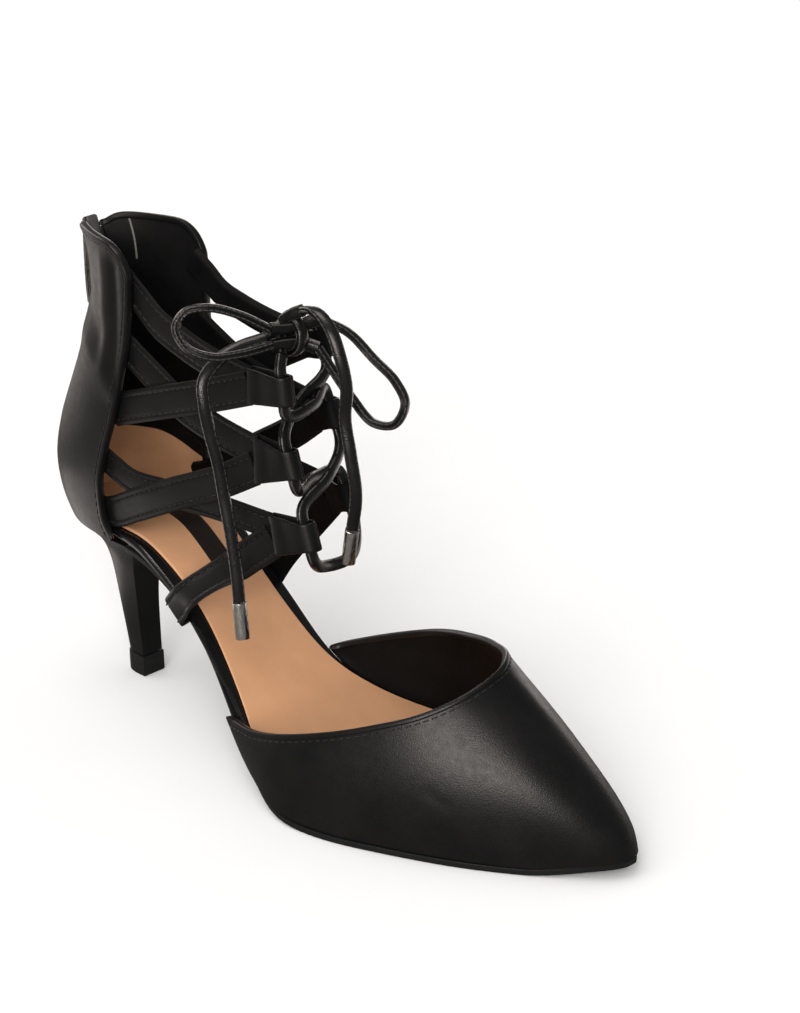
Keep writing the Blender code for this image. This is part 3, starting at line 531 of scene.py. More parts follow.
def turned(along, out, place):
    """Matrix that lays a shape's X along a line, its Z outwards and its origin on a place."""
    along = Vector(along).normalized()
    out = Vector(out)
    out = (out - along * out.dot(along)).normalized()
    matrix = Matrix((along, out.cross(along), out)).transposed().to_4x4()
    matrix.translation = place
    return matrix


def copies_at(template, matrices):
    """Copies of a small shape, each with its own mesh, joined into one object."""
    made = []
    for matrix in matrices:
        mesh = template.data.copy()
        mesh.transform(matrix)
        made.append(linked("copy", mesh))
    return joined(made)


def press(thing, line, reach, shift):
    """Soft trough or ridge along a line of points, both in millimetres."""
    line = np.asarray(line, dtype=float)
    start, end = line[:-1], line[1:]
    span = end - start
    for vertex in thing.data.vertices:
        spot = np.array(vertex.co) / MM
        share = np.clip(((spot - start) * span).sum(axis=1) / (span * span).sum(axis=1), 0.0, 1.0)
        near = np.linalg.norm(start + span * share[:, None] - spot, axis=1).min()
        if near < PRESS_REACHES * reach:
            vertex.co += Vector(shift) * MM * math.exp(-(near / reach) ** 2)


# Materials
class Wiring:
    """Adds nodes to a tree and joins their sockets."""

    def __init__(self, tree):
        self.tree = tree

    def put(self, value, socket):
        if isinstance(value, bpy.types.NodeSocket):
            self.tree.links.new(value, socket)
        else:
            socket.default_value = value

    def add(self, kind, values=None, **settings):
        made = self.tree.nodes.new("ShaderNode" + kind)
        for setting, value in settings.items():
            setattr(made, setting, value)
        for socket, value in (values or {}).items():
            self.put(value, made.inputs[socket])
        return made

    def feed(self, target, **values):
        for socket, value in values.items():
            self.put(value, target.inputs[socket.replace("_", " ")])

    def place(self):
        return self.add("TexCoord").outputs["Object"]

    def axes(self, vector):
        return self.add("SeparateXYZ", {0: vector}).outputs

    def group(self, tree, value):
        return self.add("Group", {0: value}, node_tree=tree).outputs

    def maths(self, operation, first, second=0.0, third=0.0):
        return self.add("Math", {0: first, 1: second, 2: third}, operation=operation).outputs[0]

    def away(self, value, centre=0.0):
        return self.maths("ABSOLUTE", self.maths("SUBTRACT", value, centre))

    def between(self, value, low, high, from_low=0.0, from_high=1.0):
        return self.add("MapRange", {0: value, 1: from_low, 2: from_high, 3: low, 4: high}).outputs[0]

    def step(self, value, low, high):
        return self.add("MapRange", {0: value, 1: low, 2: high}, interpolation_type="SMOOTHSTEP").outputs[0]

    def blend(self, share, *colours):
        made = self.add("Mix", {0: share}, data_type="RGBA")
        for socket, colour in zip((6, 7), colours):
            self.put((*colour, 1.0) if isinstance(colour, tuple) else colour, made.inputs[socket])
        return made.outputs[2]

    def noise(self, place, scale, detail=2.0, rough=0.5):
        values = {"Vector": place, "Scale": scale, "Detail": detail, "Roughness": rough}
        return self.add("TexNoise", values).outputs[0]

    def bump(self, height, depth):
        values = {"Height": height, "Distance": depth * MM, "Strength": 1.0}
        return self.add("Bump", values).outputs[0]


def node_group(name, label, value, outputs):
    """Shader group with one value input. Gives its wiring, that input and the output node."""
    group = bpy.data.node_groups.new(name, "ShaderNodeTree")
    socket = group.interface.new_socket(label, in_out="INPUT", socket_type="NodeSocketFloat")
    socket.default_value = value
    for output in outputs:
        group.interface.new_socket(output, in_out="OUTPUT", socket_type="NodeSocketFloat")
    start = group.nodes.new("NodeGroupInput")
    return Wiring(group), start.outputs[0], group.nodes.new("NodeGroupOutput")


def make_grain_group():
    """Pebbled grain of finished leather: height, tone and gloss."""
    wires, scale, end = node_group("leather_grain", "Scale", 1500.0, ("Height", "Tone", "Gloss"))
    place = wires.place()
    pebbles = {"Vector": place, "Scale": scale, "Smoothness": 0.6}
    cells = wires.add("TexVoronoi", pebbles, feature="SMOOTH_F1")
    pores = wires.noise(place, wires.maths("MULTIPLY", scale, 2.3), 3.0)
    wires.feed(end,
               Height=wires.maths("MULTIPLY_ADD", pores, 0.5, cells.outputs["Distance"]),
               Tone=wires.between(wires.noise(place, 90.0, 3.0), 0.0, 1.0, 0.3, 0.7),
               Gloss=wires.between(wires.noise(place, 420.0, 4.0, 0.6), 0.0, 1.0, 0.25, 0.75))
    return wires.tree


def make_weave_group():
    """Woven tape: height and tone of crossing yarns."""
    wires, scale, end = node_group("tape_weave", "Scale", 1400.0, ("Height", "Tone"))
    place = wires.place()
    _, y, z = wires.axes(place)
    across, upwards = [wires.maths("SINE", wires.maths("MULTIPLY", axis, scale)) for axis in (y, z)]
    weave = wires.maths("MULTIPLY", across, upwards)
    wires.feed(end, Height=wires.between(weave, 0.0, 1.0, -1.0, 1.0), Tone=wires.noise(place, 700.0))
    return wires.tree


def make_seam_group():
    """Sewn seams along both edges of a rolled cord, from its own map: height, painted shade in their
    grooves and thread.
    """
    wires, stitches, end = node_group("cord_seam", "Stitches", 30.0, ("Height", "Shade", "Thread"))
    along, around, _ = wires.axes(wires.add("UVMap", uv_map="UVMap").outputs[0])
    halves = wires.maths("FRACT", wires.maths("MULTIPLY", around, 2.0))
    edge = wires.maths("SUBTRACT", 0.5, wires.away(halves, 0.5))
    groove = wires.step(edge, 0.02, 0.08)
    turns = wires.maths("FRACT", wires.maths("MULTIPLY", along, stitches))
    dashes = wires.step(wires.away(turns, 0.5), 0.42, 0.34)
    beside = wires.between(wires.away(edge, 0.16), 1.0, 0.0, 0.03, 0.06)
    thread = wires.maths("MULTIPLY", dashes, beside)
    wires.feed(end, Height=wires.maths("MULTIPLY_ADD", thread, 0.4, groove), Shade=groove, Thread=thread)
    return wires.tree


def make_scratch_group():
    """Fine brushed lines and smudges on metal: tone and gloss."""
    wires, scale, end = node_group("metal_smudges", "Scale", 600.0, ("Tone", "Gloss"))
    place = wires.place()
    drawn = wires.add("Mapping", {"Vector": place, "Scale": (1.0, 1.0, 0.08)}).outputs[0]
    lines = wires.noise(drawn, wires.maths("MULTIPLY", scale, 6.0), 3.0)
    smudge = wires.noise(place, scale, 3.0)
    wires.feed(end, Tone=wires.between(smudge, 0.0, 1.0, 0.3, 0.7),
               Gloss=wires.between(lines, 0.0, 1.0, 0.3, 0.7))
    return wires.tree


grain_group = make_grain_group()
weave_group = make_weave_group()
seam_group = make_seam_group()
scratch_group = make_scratch_group()


def new_material(name, **constants):
    """Material with its shader and constant sockets. Gives the material, its wiring and shader."""
    material = bpy.data.materials.new(name)
    material.use_nodes = True
    shader = material.node_tree.nodes["Principled BSDF"]
    wires = Wiring(material.node_tree)
    wires.feed(shader, **constants)
    return material, wires, shader


def leather(name, dark, light, roughness, scale, depth, sheen=0.22):
    """Finished leather with pebbled grain. sheen is the strength of its mirror light."""
    material, wires, shader = new_material(name, Specular_IOR_Level=sheen)
    grain = wires.group(grain_group, scale)
    wires.feed(shader, Base_Color=wires.blend(grain["Tone"], dark, light),
               Roughness=wires.between(grain["Gloss"], roughness - 0.05, roughness + 0.05),
               Normal=wires.bump(grain["Height"], depth))
    return material


def counter_lining():
    """Lining behind the counter: tan round the heel seat, black above an arched edge."""
    material, wires, shader = new_material("counter_lining", Specular_IOR_Level=0.12)
    grain = wires.group(grain_group, 1900.0)
    x, y, z = wires.axes(wires.place())
    edge = wires.between(wires.step(x, -0.143, -0.116), 0.0793, 0.0728)
    above = wires.step(wires.maths("SUBTRACT", z, edge), -0.0002, 0.0002)
    tan = wires.blend(grain["Tone"], (0.50, 0.26, 0.135), (0.58, 0.305, 0.16))
    black = wires.blend(grain["Tone"], (0.003, 0.003, 0.003), (0.006, 0.0055, 0.0055))
    line = wires.between(wires.away(y, 0.0085), 1.0, 0.0, 0.00008, 0.00022)
    seam = wires.maths("MULTIPLY", line, wires.step(z, 0.1425, 0.1432))
    black = wires.blend(seam, black, (0.16, 0.15, 0.14))
    wires.feed(shader, Base_Color=wires.blend(above, tan, black),
               Roughness=wires.between(grain["Gloss"], 0.5, 0.62), Normal=wires.bump(grain["Height"], 0.05))
    return material


def tan_sock():
    """Tan sock with soft foot marks and a plain dark strip sewn along its seat."""
    material, wires, shader = new_material("tan_sock_leather", Specular_IOR_Level=0.2)
    grain = wires.group(grain_group, 2100.0)
    place = wires.place()
    turn = {"Vector": place, "Location": (0.0, 0.014, 0.0), "Rotation": (0.0, 0.0, 0.149)}
    x, y, _ = wires.axes(wires.add("Mapping", turn).outputs[0])
    side = wires.between(wires.away(y), 1.0, 0.0, 0.0039, 0.0042)
    front = wires.between(x, 1.0, 0.0, -0.0823, -0.082)
    back = wires.between(x, 0.0, 1.0, -0.1367, -0.1364)
    strip = wires.maths("MULTIPLY", side, wires.maths("MULTIPLY", front, back))
    marks = wires.between(wires.noise(place, 38.0, 3.0, 0.55), 0.0, 0.35, 0.42, 0.78)
    tan = wires.blend(grain["Tone"], (0.545, 0.283, 0.146), (0.60, 0.315, 0.166))
    tan = wires.blend(marks, tan, (0.50, 0.255, 0.13))
    brown = wires.blend(grain["Tone"], (0.008, 0.006, 0.005), (0.018, 0.012, 0.010))
    height = wires.maths("MULTIPLY_ADD", strip, 3.0, grain["Height"])
    wires.feed(shader, Base_Color=wires.blend(strip, tan, brown),
               Roughness=wires.between(grain["Gloss"], 0.40, 0.52), Normal=wires.bump(height, 0.03))
    return material


def rolled_cord():
    """Thin leather rolled round a core, with its seam."""
    material, wires, shader = new_material("rolled_cord_leather", Specular_IOR_Level=0.3)
    grain = wires.group(grain_group, 2600.0)
    seam = wires.group(seam_group, 40.0)
    tone = wires.blend(grain["Tone"], (0.0035, 0.0035, 0.0035), (0.0065, 0.0062, 0.006))
    # The cord is darker in its seam grooves: painted shade.
    colour = wires.blend(seam["Shade"], (0.0015, 0.0015, 0.0015), tone)
    height = wires.maths("MULTIPLY_ADD", grain["Height"], 0.15, seam["Height"])
    wires.feed(shader, Base_Color=wires.blend(seam["Thread"], colour, (0.055, 0.050, 0.046)),
               Roughness=wires.between(grain["Gloss"], 0.24, 0.34), Normal=wires.bump(height, 0.25))
    return material


def metal(name, dark, light, roughness):
    """Polished metal with smudges and fine lines."""
    material, wires, shader = new_material(name, Metallic=1.0)
    marks = wires.group(scratch_group, 500.0)
    wires.feed(shader, Base_Color=wires.blend(marks["Tone"], dark, light),
               Roughness=wires.between(marks["Gloss"], roughness - 0.06, roughness + 0.08),
               Normal=wires.bump(marks["Gloss"], 0.01))
    return material


def woven_tape():
    """Woven zip tape, darker where its weave is low: painted shade between the yarns."""
    material, wires, shader = new_material("woven_zip_tape", Sheen_Weight=0.3)
    weave = wires.group(weave_group, 7000.0)
    # Colour follows the weave's height: painted shade in its hollows.
    wires.feed(shader, Base_Color=wires.blend(weave["Height"], (0.006, 0.006, 0.006), (0.02, 0.02, 0.02)),
               Roughness=wires.between(weave["Tone"], 0.6, 0.85), Normal=wires.bump(weave["Height"], 0.12))
    return material


# Leathers: dark and light tone, roughness, scale and depth of the grain, sheen
BLACK = leather(
    "black_leather_satin", (0.0035, 0.0034, 0.0034), (0.006, 0.0057, 0.0056), 0.37, 2300.0, 0.03)
STRAP_BLACK = leather(
    "black_leather_straps", (0.003, 0.0029, 0.0029), (0.0055, 0.0052, 0.0051), 0.42, 2300.0, 0.03)
STRAP_LINING = leather(
    "black_strap_lining", (0.003, 0.0029, 0.0029), (0.0055, 0.0052, 0.0051), 0.6, 2100.0, 0.03, 0.06)
HEEL_BLACK = leather(
    "black_leather_heel", (0.0035, 0.0034, 0.0034), (0.0055, 0.0053, 0.0052), 0.34, 2000.0, 0.02)
BOARD_BLACK = leather(
    "black_board_edge", (0.003, 0.003, 0.003), (0.005, 0.005, 0.005), 0.22, 1800.0, 0.015, 0.4)
SOLE_BLACK = leather(
    "black_sole_rubber", (0.006, 0.006, 0.006), (0.010, 0.0098, 0.0095), 0.45, 1100.0, 0.04)
VAMP_LINING = leather(
    "dark_vamp_lining", (0.003, 0.0024, 0.0021), (0.006, 0.0047, 0.0042), 0.62, 2100.0, 0.03, 0.1)
THREAD = leather(
    "black_thread", (0.005, 0.005, 0.0049), (0.011, 0.0104, 0.0100), 0.42, 5200.0, 0.08, 0.32)
TAN = tan_sock()
COUNTER_LINING = counter_lining()
CORD = rolled_cord()
GUNMETAL = metal("gunmetal_zip", (0.30, 0.285, 0.27), (0.46, 0.44, 0.42), 0.28)
AGLET_METAL = metal("bright_aglet_metal", (0.44, 0.43, 0.42), (0.60, 0.59, 0.57), 0.24)
TAPE = woven_tape()


# Stitches
def make_stitch():
    """One stitch: a short thread that dips at both ends."""
    thing = added(bpy.ops.mesh.primitive_cylinder_add, vertices=6, radius=STITCH_RADIUS * MM,
                  depth=STITCH_LENGTH * MM, end_fill_type="TRIFAN")
    thing.name = "stitch_pattern"
    with editing(thing):
        bpy.ops.transform.rotate(value=0.5 * math.pi, orient_axis="Y", center_override=(0.0, 0.0, 0.0))
    use(thing, "BEVEL", width=STITCH_ROUNDING * MM, segments=1, limit_method="ANGLE",
        angle_limit=math.radians(STITCH_ANGLE))
    for vertex in thing.data.vertices:
        vertex.co.z -= STITCH_DIP * MM * (vertex.co.x / MM) ** 2
    return thing


def stitch_matrices(line, tree, pitch):
    """Places of stitches along a line of points in millimetres, laid on a surface."""
    spots = evenly(line, pitch)
    made = []
    for spot, way in zip(spots, np.gradient(spots, axis=0)):
        place, normal, _, _ = tree.find_nearest(Vector(spot) * MM)
        made.append(turned(way, normal, place + normal * STITCH_LIFT * MM))
    return made


# Cords
def cord_mesh(points, spread, thickness=LACE_THICKNESS):
    """Flat rolled cord along points. spread is the direction of its broad side."""
    points = np.asarray(points, dtype=float)
    along = unit(np.gradient(points, axis=0))
    spread = np.broadcast_to(np.asarray(spread, dtype=float), points.shape)
    broad = unit(spread - along * (spread * along).sum(axis=1, keepdims=True))
    for spot in range(1, len(broad)):
        if broad[spot] @ broad[spot - 1] < 0.0:
            broad[spot] *= -1.0
    narrow = np.cross(along, broad)

    def swelled(share, size):
        return math.copysign(abs(share) ** CORD_SQUARENESS, share) * 0.5 * size

    def place(spot, side):
        turn = 2.0 * math.pi * side / CORD_SIDES
        wide = swelled(math.cos(turn), LACE_WIDTH)
        deep = swelled(math.sin(turn), thickness)
        return points[spot] + broad[spot] * wide + narrow[spot] * deep

    thing = laid_grid(len(points) - 1, CORD_SIDES, place)
    with editing(thing):
        bpy.ops.mesh.remove_doubles(threshold=CORD_DOUBLES)
        bpy.ops.mesh.fill_holes(sides=CORD_SIDES)
        bpy.ops.mesh.normals_make_consistent(inside=False)
    return thing


def loop_spread(points):
    """Direction square to the plane of a bow loop."""
    points = np.asarray(points, dtype=float)
    return np.linalg.svd(points - points.mean(axis=0))[2][-1]


def lace_route(outer, inner):
    """Route of the lace from the knot down through the loops, over the lower bar and up again."""
    def through(loop, upwards):
        centre, axis = loop
        reach = axis * (0.5 * LOOP_HEIGHT + LACE_STRAIGHT)
        ends = [centre - reach, centre, centre + reach]
        return ends if upwards else ends[::-1]

    def crossing(start, end, forward):
        return [0.5 * (start + end) + np.array([forward, 0.0, 0.0])]

    down = [through(outer[0], False), through(inner[1], False), through(outer[2], False)]
    up = [through(inner[2], True), through(outer[1], True), through(inner[0], True)]
    route = list(down[0])
    for before, after in zip(down, down[1:]):
        route += crossing(before[-1], after[0], LACE_FRONT) + after
    low = 0.5 * (down[-1][-1] + up[0][0])
    forward, half, drop = LACE_BAR
    for y in (-half, half):
        route.append(low + np.array([forward, y, -drop]))
    route += up[0]
    for before, after in zip(up, up[1:]):
        route += crossing(before[-1], after[0], LACE_BEHIND) + after
    return [np.array(KNOT_FROM_OUTER)] + route + [np.array(KNOT_FROM_INNER)]


def make_aglet(side, start, away):
    """Folded metal tube on the end of the lace."""
    thing = added(bpy.ops.mesh.primitive_cylinder_add, vertices=AGLET_SIDES,
                  radius=0.5 * AGLET_DIAMETER * MM, depth=AGLET_LENGTH * MM)
    bpy.ops.object.mode_set(mode="EDIT")
    bpy.ops.mesh.select_mode(type="FACE")
    bpy.ops.mesh.select_all(action="DESELECT")
    bpy.ops.object.mode_set(mode="OBJECT")
    for face in thing.data.polygons:
        face.select = abs(face.normal.z) > 0.9
    bpy.ops.object.mode_set(mode="EDIT")
    bpy.ops.mesh.inset(thickness=AGLET_RIM * MM, depth=0.0, use_individual=True)
    bpy.ops.mesh.inset(thickness=AGLET_HOLLOW_TAPER * MM, depth=-AGLET_HOLLOW * MM, use_individual=True)
    bpy.ops.object.mode_set(mode="OBJECT")
    rounded(thing, 0.25, 2, 1)
    for vertex in thing.data.vertices:
        vertex.co.y = np.clip(vertex.co.y, -AGLET_FLAT * MM, AGLET_FLAT * MM)
    middle = (start + away * 0.5 * AGLET_LENGTH) * MM
    upright = Matrix.Rotation(0.5 * math.pi, 4, "Y")
    thing.data.transform(turned(away, AGLET_FACE, middle) @ upright)
    return settle(thing, f"lace_tip_{side}", [AGLET_METAL], stands_for=[f"aglet_{side}"])


def cord_piece(mesh, name, node):
    """Finished piece of the lace that stands for a solid."""
    return settle(mesh, name, [CORD], stands_for=[node])


def make_cords(loops):
    """Lace through the loops, knot, bow loops and ends with their metal tips."""
    route = curve_through(lace_route(loops[OUTER], loops[INNER]), LACE_STEPS)
    spread = np.cross(np.gradient(route, axis=0), LACE_LEAN)
    cord_piece(cord_mesh(route, spread), "lace_through_loops", "lace_crossings")
    for name, points in BOW_LOOPS.items():
        path = evenly(points, LACE_SPACING)
        bow = cord_piece(cord_mesh(path, loop_spread(points)), name + "_cord", name)
    for side, points in LACE_ENDS.items():
        path = evenly(points, LACE_SPACING)
        end = cord_piece(cord_mesh(path, LACE_END_BROAD), f"lace_end_{side}_cord", f"lace_end_{side}")
        away = unit(path[-1] - path[-2])
        tip = make_aglet(side, path[-1] + away * AGLET_GAP, away)
    parts = []
    for strand in KNOT_STRANDS:
        line = curve_through(strand, KNOT_STRAND_STEPS)
        parts.append(cord_mesh(line, KNOT_STRAND_BROAD, KNOT_STRAND_THICKNESS))
    wrap = []
    for turn in np.linspace(*WRAP_TURNS, WRAP_STEPS):
        lean = WRAP_LEAN * math.sin(0.5 * turn - WRAP_LEAN_START)
        ring = (WRAP_RADIUS * math.cos(turn), lean, WRAP_RADIUS * math.sin(turn))
        wrap.append(np.array(KNOT_CENTRE) + ring)
    parts.append(cord_mesh(wrap, (0.0, 1.0, 0.0), WRAP_THICKNESS))
    cord_piece(joined(parts), "lace_knot_strands", "lace_knot")


# Straps
def fold_way(out, side):
    """Downward direction square to the board's edge, where the lowest strap turns under it."""
    edge = unit(np.array(BOARD_EDGE_WAY) * (1.0, -side, 1.0))
    down = unit(np.cross(edge, out))
    return down * -np.sign(down[2])


def folded_under(spot, start, out, down):
    """Point of a strap's low end, bent round the board where it passes the board's lower edge."""
    past = (spot - start) @ down
    if past <= 0.0:
        return spot
    turn = min(past / FOLD_RADIUS, 0.5 * math.pi)
    straight = past - turn * FOLD_RADIUS
    moved = spot - down * past
    moved = moved + (down * math.sin(turn) - out * (1.0 - math.cos(turn))) * FOLD_RADIUS
    return moved + (down * math.cos(turn) - out * math.sin(turn)) * straight


def strap_leg(run, width, side, folded):
    """Folded leather strap along a run, with a shallow groove for its stitches."""
    points, normals, across = run
    last = len(points) - 1
    ahead = unit(points[0] - points[4])
    start = points[0] - ahead * FOLD_TUCK
    down = fold_way(normals[0], side)

    def place(spot, row):
        aside = width * (LEG_ROWS[row] - 0.5)
        flat = points[spot] + across[spot] * aside + normals[spot] * LEG_SWELL[row]
        if not folded:
            return flat
        end = points[0] + across[0] * aside
        reach = (FOLD_LENGTH - (end - start) @ down) / (ahead @ down)
        flat = flat + ahead * reach * max(0.0, 1.0 - spot / last / FOLD_SPREAD)
        return folded_under(flat, start, normals[0], down)

    thing = laid_grid(last, len(LEG_ROWS) - 1, place)
    use(thing, "SOLIDIFY", thickness=STRAP_WALL * MM, offset=0.0)
    return rounded(thing, 0.5, 2, 1)


def strap_tab(upper, lower, loop, side):
    """Leather folded round the lace and sewn over the ends of two straps."""
    centre, upwards = loop
    (points, _, across), width = upper
    back_top = points[-1] + across[-1] * 0.5 * width
    (points, _, across), width = lower
    back_foot = points[-1] - across[-1] * 0.5 * width
    loop_top = centre + upwards * 0.5 * TAB_LOOP_WIDTH
    loop_foot = centre - upwards * 0.5 * TAB_LOOP_WIDTH
    forward = unit(centre - 0.5 * (back_top + back_foot))
    out = unit(np.cross(upwards, forward))
    out = out * np.sign(out[1]) * side
    path = curve_through([(ahead, away, 0.0) for ahead, away in TAB_PATH], TAB_STEPS + 1)

    def place(spot, row):
        ahead, away = path[spot][:2]
        share = max(-ahead / TAB_REACH, 0.0)
        top = loop_top + (back_top - loop_top) * share
        foot = loop_foot + (back_foot - loop_foot) * share
        return foot + (top - foot) * row / TAB_ROWS + forward * max(ahead, 0.0) + out * away

    thing = laid_grid(TAB_STEPS, TAB_ROWS, place)
    use(thing, "SOLIDIFY", thickness=TAB_WALL * MM, offset=0.0)
    return rounded(thing, 0.35, 2, 1)


def make_straps(side, name, node, stitch):
    """Straps of one side with their stitches. Gives the loops' places."""
    legs, loops = strap_plan(side)
    lowest = len(legs) - 1
    parts = [strap_leg(run, width, side, n == lowest) for n, (run, width) in enumerate(legs)]
    parts += [strap_tab(legs[2 * n], legs[2 * n + 1], loop, side) for n, loop in enumerate(loops)]
    straps = settle(joined(parts), name, [STRAP_BLACK, STRAP_LINING], stands_for=[node])
    inner_faces(straps, lambda spot: (spot.x, 0.0, spot.z))
    tree = surface_of(straps)
    matrices = []
    for (points, normals, across), width in legs:
        for edge in (-1.0, 1.0):
            line = points + across * edge * (0.5 * width - STRAP_STITCH_IN) + normals * STRAP_STITCH_OUT
            matrices += stitch_matrices(line[1:-1], tree, STRAP_PITCH)
    settle(copies_at(stitch, matrices), name + "_thread", [THREAD])
    return loops


# Vamp, counter and sole unit
def inner_faces(thing, inside):
    """Give the faces that look towards the inside line the second finish."""
    for face in thing.data.polygons:
        towards = Vector(inside(face.center)) - face.center
        if face.normal.dot(towards.normalized()) > FACING_INSIDE:
            face.material_index = 1


def folded_edge(edge, down, out, wall):
    """Thin leather folded over the edge of a wall, along a line of points.

    The profile's places are down from the edge and out from the wall's outer face.
    """
    profile = (
        (1.45, -0.12), (1.3, 0.12), (1.0, 0.2), (0.45, 0.2), (0.0, 0.08), (-0.18, -0.4),
        (-0.18, 0.4 - wall), (0.0, -wall - 0.06), (0.6, -wall - 0.16), (1.6, -wall - 0.12),
        (1.9, 0.15 - wall))

    def place(spot, row):
        lower, away = profile[row]
        return edge[spot] + down[spot] * lower + out[spot] * away

    thing = laid_grid(len(edge) - 1, len(profile) - 1, place)
    use(thing, "SOLIDIFY", thickness=FOLD_WALL * MM, offset=0.0)
    return rounded(thing, 0.1, 1, 1)


def edge_frame(edge, probe, away, tree, turn):
    """Directions down from an edge along its wall and out from the wall, on the side that away names."""
    out = np.array([tree.find_nearest(Vector(spot) * MM)[1] for spot in edge + probe], dtype=float)
    out *= np.where((out * away).sum(axis=1) < 0.0, -1.0, 1.0)[:, None]
    for _ in range(EDGE_PASSES):
        out[1:-1] = 0.25 * (out[:-2] + 2.0 * out[1:-1] + out[2:])
    out = unit(out)
    along = unit(np.gradient(edge, axis=0))
    return unit(np.cross(out, along)) * turn, out


def make_vamp(stitch):
    """Vamp with folded topline, soft crease, lining and topline stitches."""
    vamp = rounded(solid_copy("vamp"), 0.5, 2, 2, SHELL_ANGLE)
    press(vamp, *VAMP_CREASE)
    settle(vamp, "vamp_leather", [BLACK, VAMP_LINING], stands_for=["vamp"])
    front, aside, up = (value * MM for value in VAMP_INSIDE)
    inner_faces(vamp, lambda spot: (min(spot.x, front), aside, up))
    tree = surface_of(vamp)
    throat = curve_through(THROAT, THROAT_STEPS)
    away = unit(np.column_stack([throat[:, :2] - THROAT_MIDDLE, np.zeros(len(throat))]))
    probe = away * THROAT_PROBE_OUT + np.array([0.0, 0.0, THROAT_PROBE_UP])
    down, out = edge_frame(throat, probe, away, tree, -1.0)
    edge = throat + out * VAMP_WALL
    settle(folded_edge(edge, down, out, VAMP_WALL), "vamp_topline_fold", [BLACK])
    line = edge + down * FOLD_STITCH + out * VAMP_STITCH_OUT
    thread = copies_at(stitch, stitch_matrices(line[2:-2], tree, UPPER_PITCH))
    settle(thread, "vamp_thread", [THREAD])


def collar_dip(y, z):
    """How far the collar's corners beside the zip are rounded down."""
    high = np.clip((z - DIP_START_Z) / DIP_RUN, 0.0, 1.0)
    near = max(abs(y) - ZIP_SLOT_HALF, 0.0) / DIP_WIDTH
    return DIP_DEPTH * high * math.exp(-near * near)


def counter_rim(side):
    """Edge of the counter from the foot of its front edge up over the ear and back along the collar."""
    rim = []
    for height in np.linspace(COUNTER_FOOT_Z, COLLAR_Z - EAR_DROP, FRONT_EDGE_STEPS):
        front, half = counter_edge(height, side)
        rim.append((front, side * half, height))
    for span in np.linspace(1.0, 0.0, COLLAR_STEPS)[1:]:
        rounding = max(0.0, (span - EAR_START) / (1.0 - EAR_START)) ** EAR_POWER
        height = COLLAR_Z - EAR_DROP * rounding
        half = counter_edge(height, side)[1]
        y = ZIP_SLOT_HALF + (half - ZIP_SLOT_HALF) * math.sin(0.5 * math.pi * span)
        rim.append(counter_point(height, side, y) - np.array([0.0, 0.0, collar_dip(y, height)]))
    return evenly(rim, RIM_SPACING)


def make_counter(stitch):
    """Counter with soft folds, lining, folded edges and the stitches along them."""
    counter = rounded(solid_copy("counter"), 0.55, 2, 2, SHELL_ANGLE)
    for fold in COUNTER_FOLDS:
        press(counter, *fold)
    for vertex in counter.data.vertices:
        vertex.co.z -= collar_dip(vertex.co.y / MM, vertex.co.z / MM) * MM
    settle(counter, "counter_leather", [BLACK, COUNTER_LINING], stands_for=["counter"])
    inner_faces(counter, lambda spot: (COUNTER_INSIDE_X * MM, 0.0, spot.z))
    tree = surface_of(counter)
    matrices, folds = [], []
    for side in (OUTER, INNER):
        rim = counter_rim(side)
        away = (rim - np.array(COUNTER_MIDDLE)) * (1.0, 1.0, 0.0)
        down, out = edge_frame(rim, np.array(COUNTER_PROBE), away, tree, -side)
        folds.append(folded_edge(rim, down, out, COUNTER_WALL))
        line = rim + down * FOLD_STITCH + out * COUNTER_STITCH_OUT
        matrices += stitch_matrices(line[2:-2], tree, UPPER_PITCH)
        beside_zip = ZIP_SLOT_HALF + ZIP_STITCH_SIDE
        heights = np.linspace(*ZIP_STITCH_Z, ZIP_STITCH_STEPS)
        line = [counter_point(height, side, beside_zip) for height in heights]
        matrices += stitch_matrices(line, tree, UPPER_PITCH)
    settle(joined(folds), "counter_edge_fold", [BLACK])
    settle(copies_at(stitch, matrices), "counter_thread", [THREAD])


def make_sole_unit():
    """Outsole, covered board, sock, heel and its top piece."""
    finishes = (
        ("outsole", "outsole_unit", SOLE_BLACK, "sole_rubber", 0.3, 1),
        ("insole_board", "board_cover_rolled", BOARD_BLACK, "board_cover", 0.3, 2),
        ("insole", "sock_sheet", TAN, "tan_sock", 0.2, 2),
        ("heel", "heel_cover_leather", HEEL_BLACK, "heel_cover", 0.6, 2),
        ("heel_tip", "heel_top_piece", SOLE_BLACK, "sole_rubber", 0.35, 1),
    )
    for node, name, finish, slot, width, levels in finishes:
        thing = rounded(solid_copy(node), width, 2, levels, SOLE_ANGLE)
        settle(thing, name, [finish], stands_for=[node])


# Zip
def block(size):
    """Box of the given sides round the origin."""
    thing = added(bpy.ops.mesh.primitive_cube_add, size=1.0 * MM)
    thing.data.transform(Matrix.Diagonal((*size, 1.0)))
    return thing


def open_slider(slider):
    """Slider cut into two plates on a middle post, open at the head where the teeth go in."""
    point, upwards, out = back_frame(SLIDER_Z)
    for side in (OUTER, INNER):
        cutter = block(SLIDER_CUT)
        centre = point + upwards * SLIDER_CUT_UP - out * SLIDER_CUT_IN
        centre += np.array([0.0, side * SLIDER_CUT_SIDE, 0.0])
        cutter.data.transform(turned(upwards, out, centre * MM))
        use(slider, "BOOLEAN", operation="DIFFERENCE", object=cutter, solver="EXACT")
        bpy.data.objects.remove(cutter)
    for vertex in slider.data.vertices:
        from_middle = abs(np.dot(np.array(vertex.co) / MM - point, upwards))
        vertex.co.y *= np.interp(from_middle, *SLIDER_TAPER)
    return slider


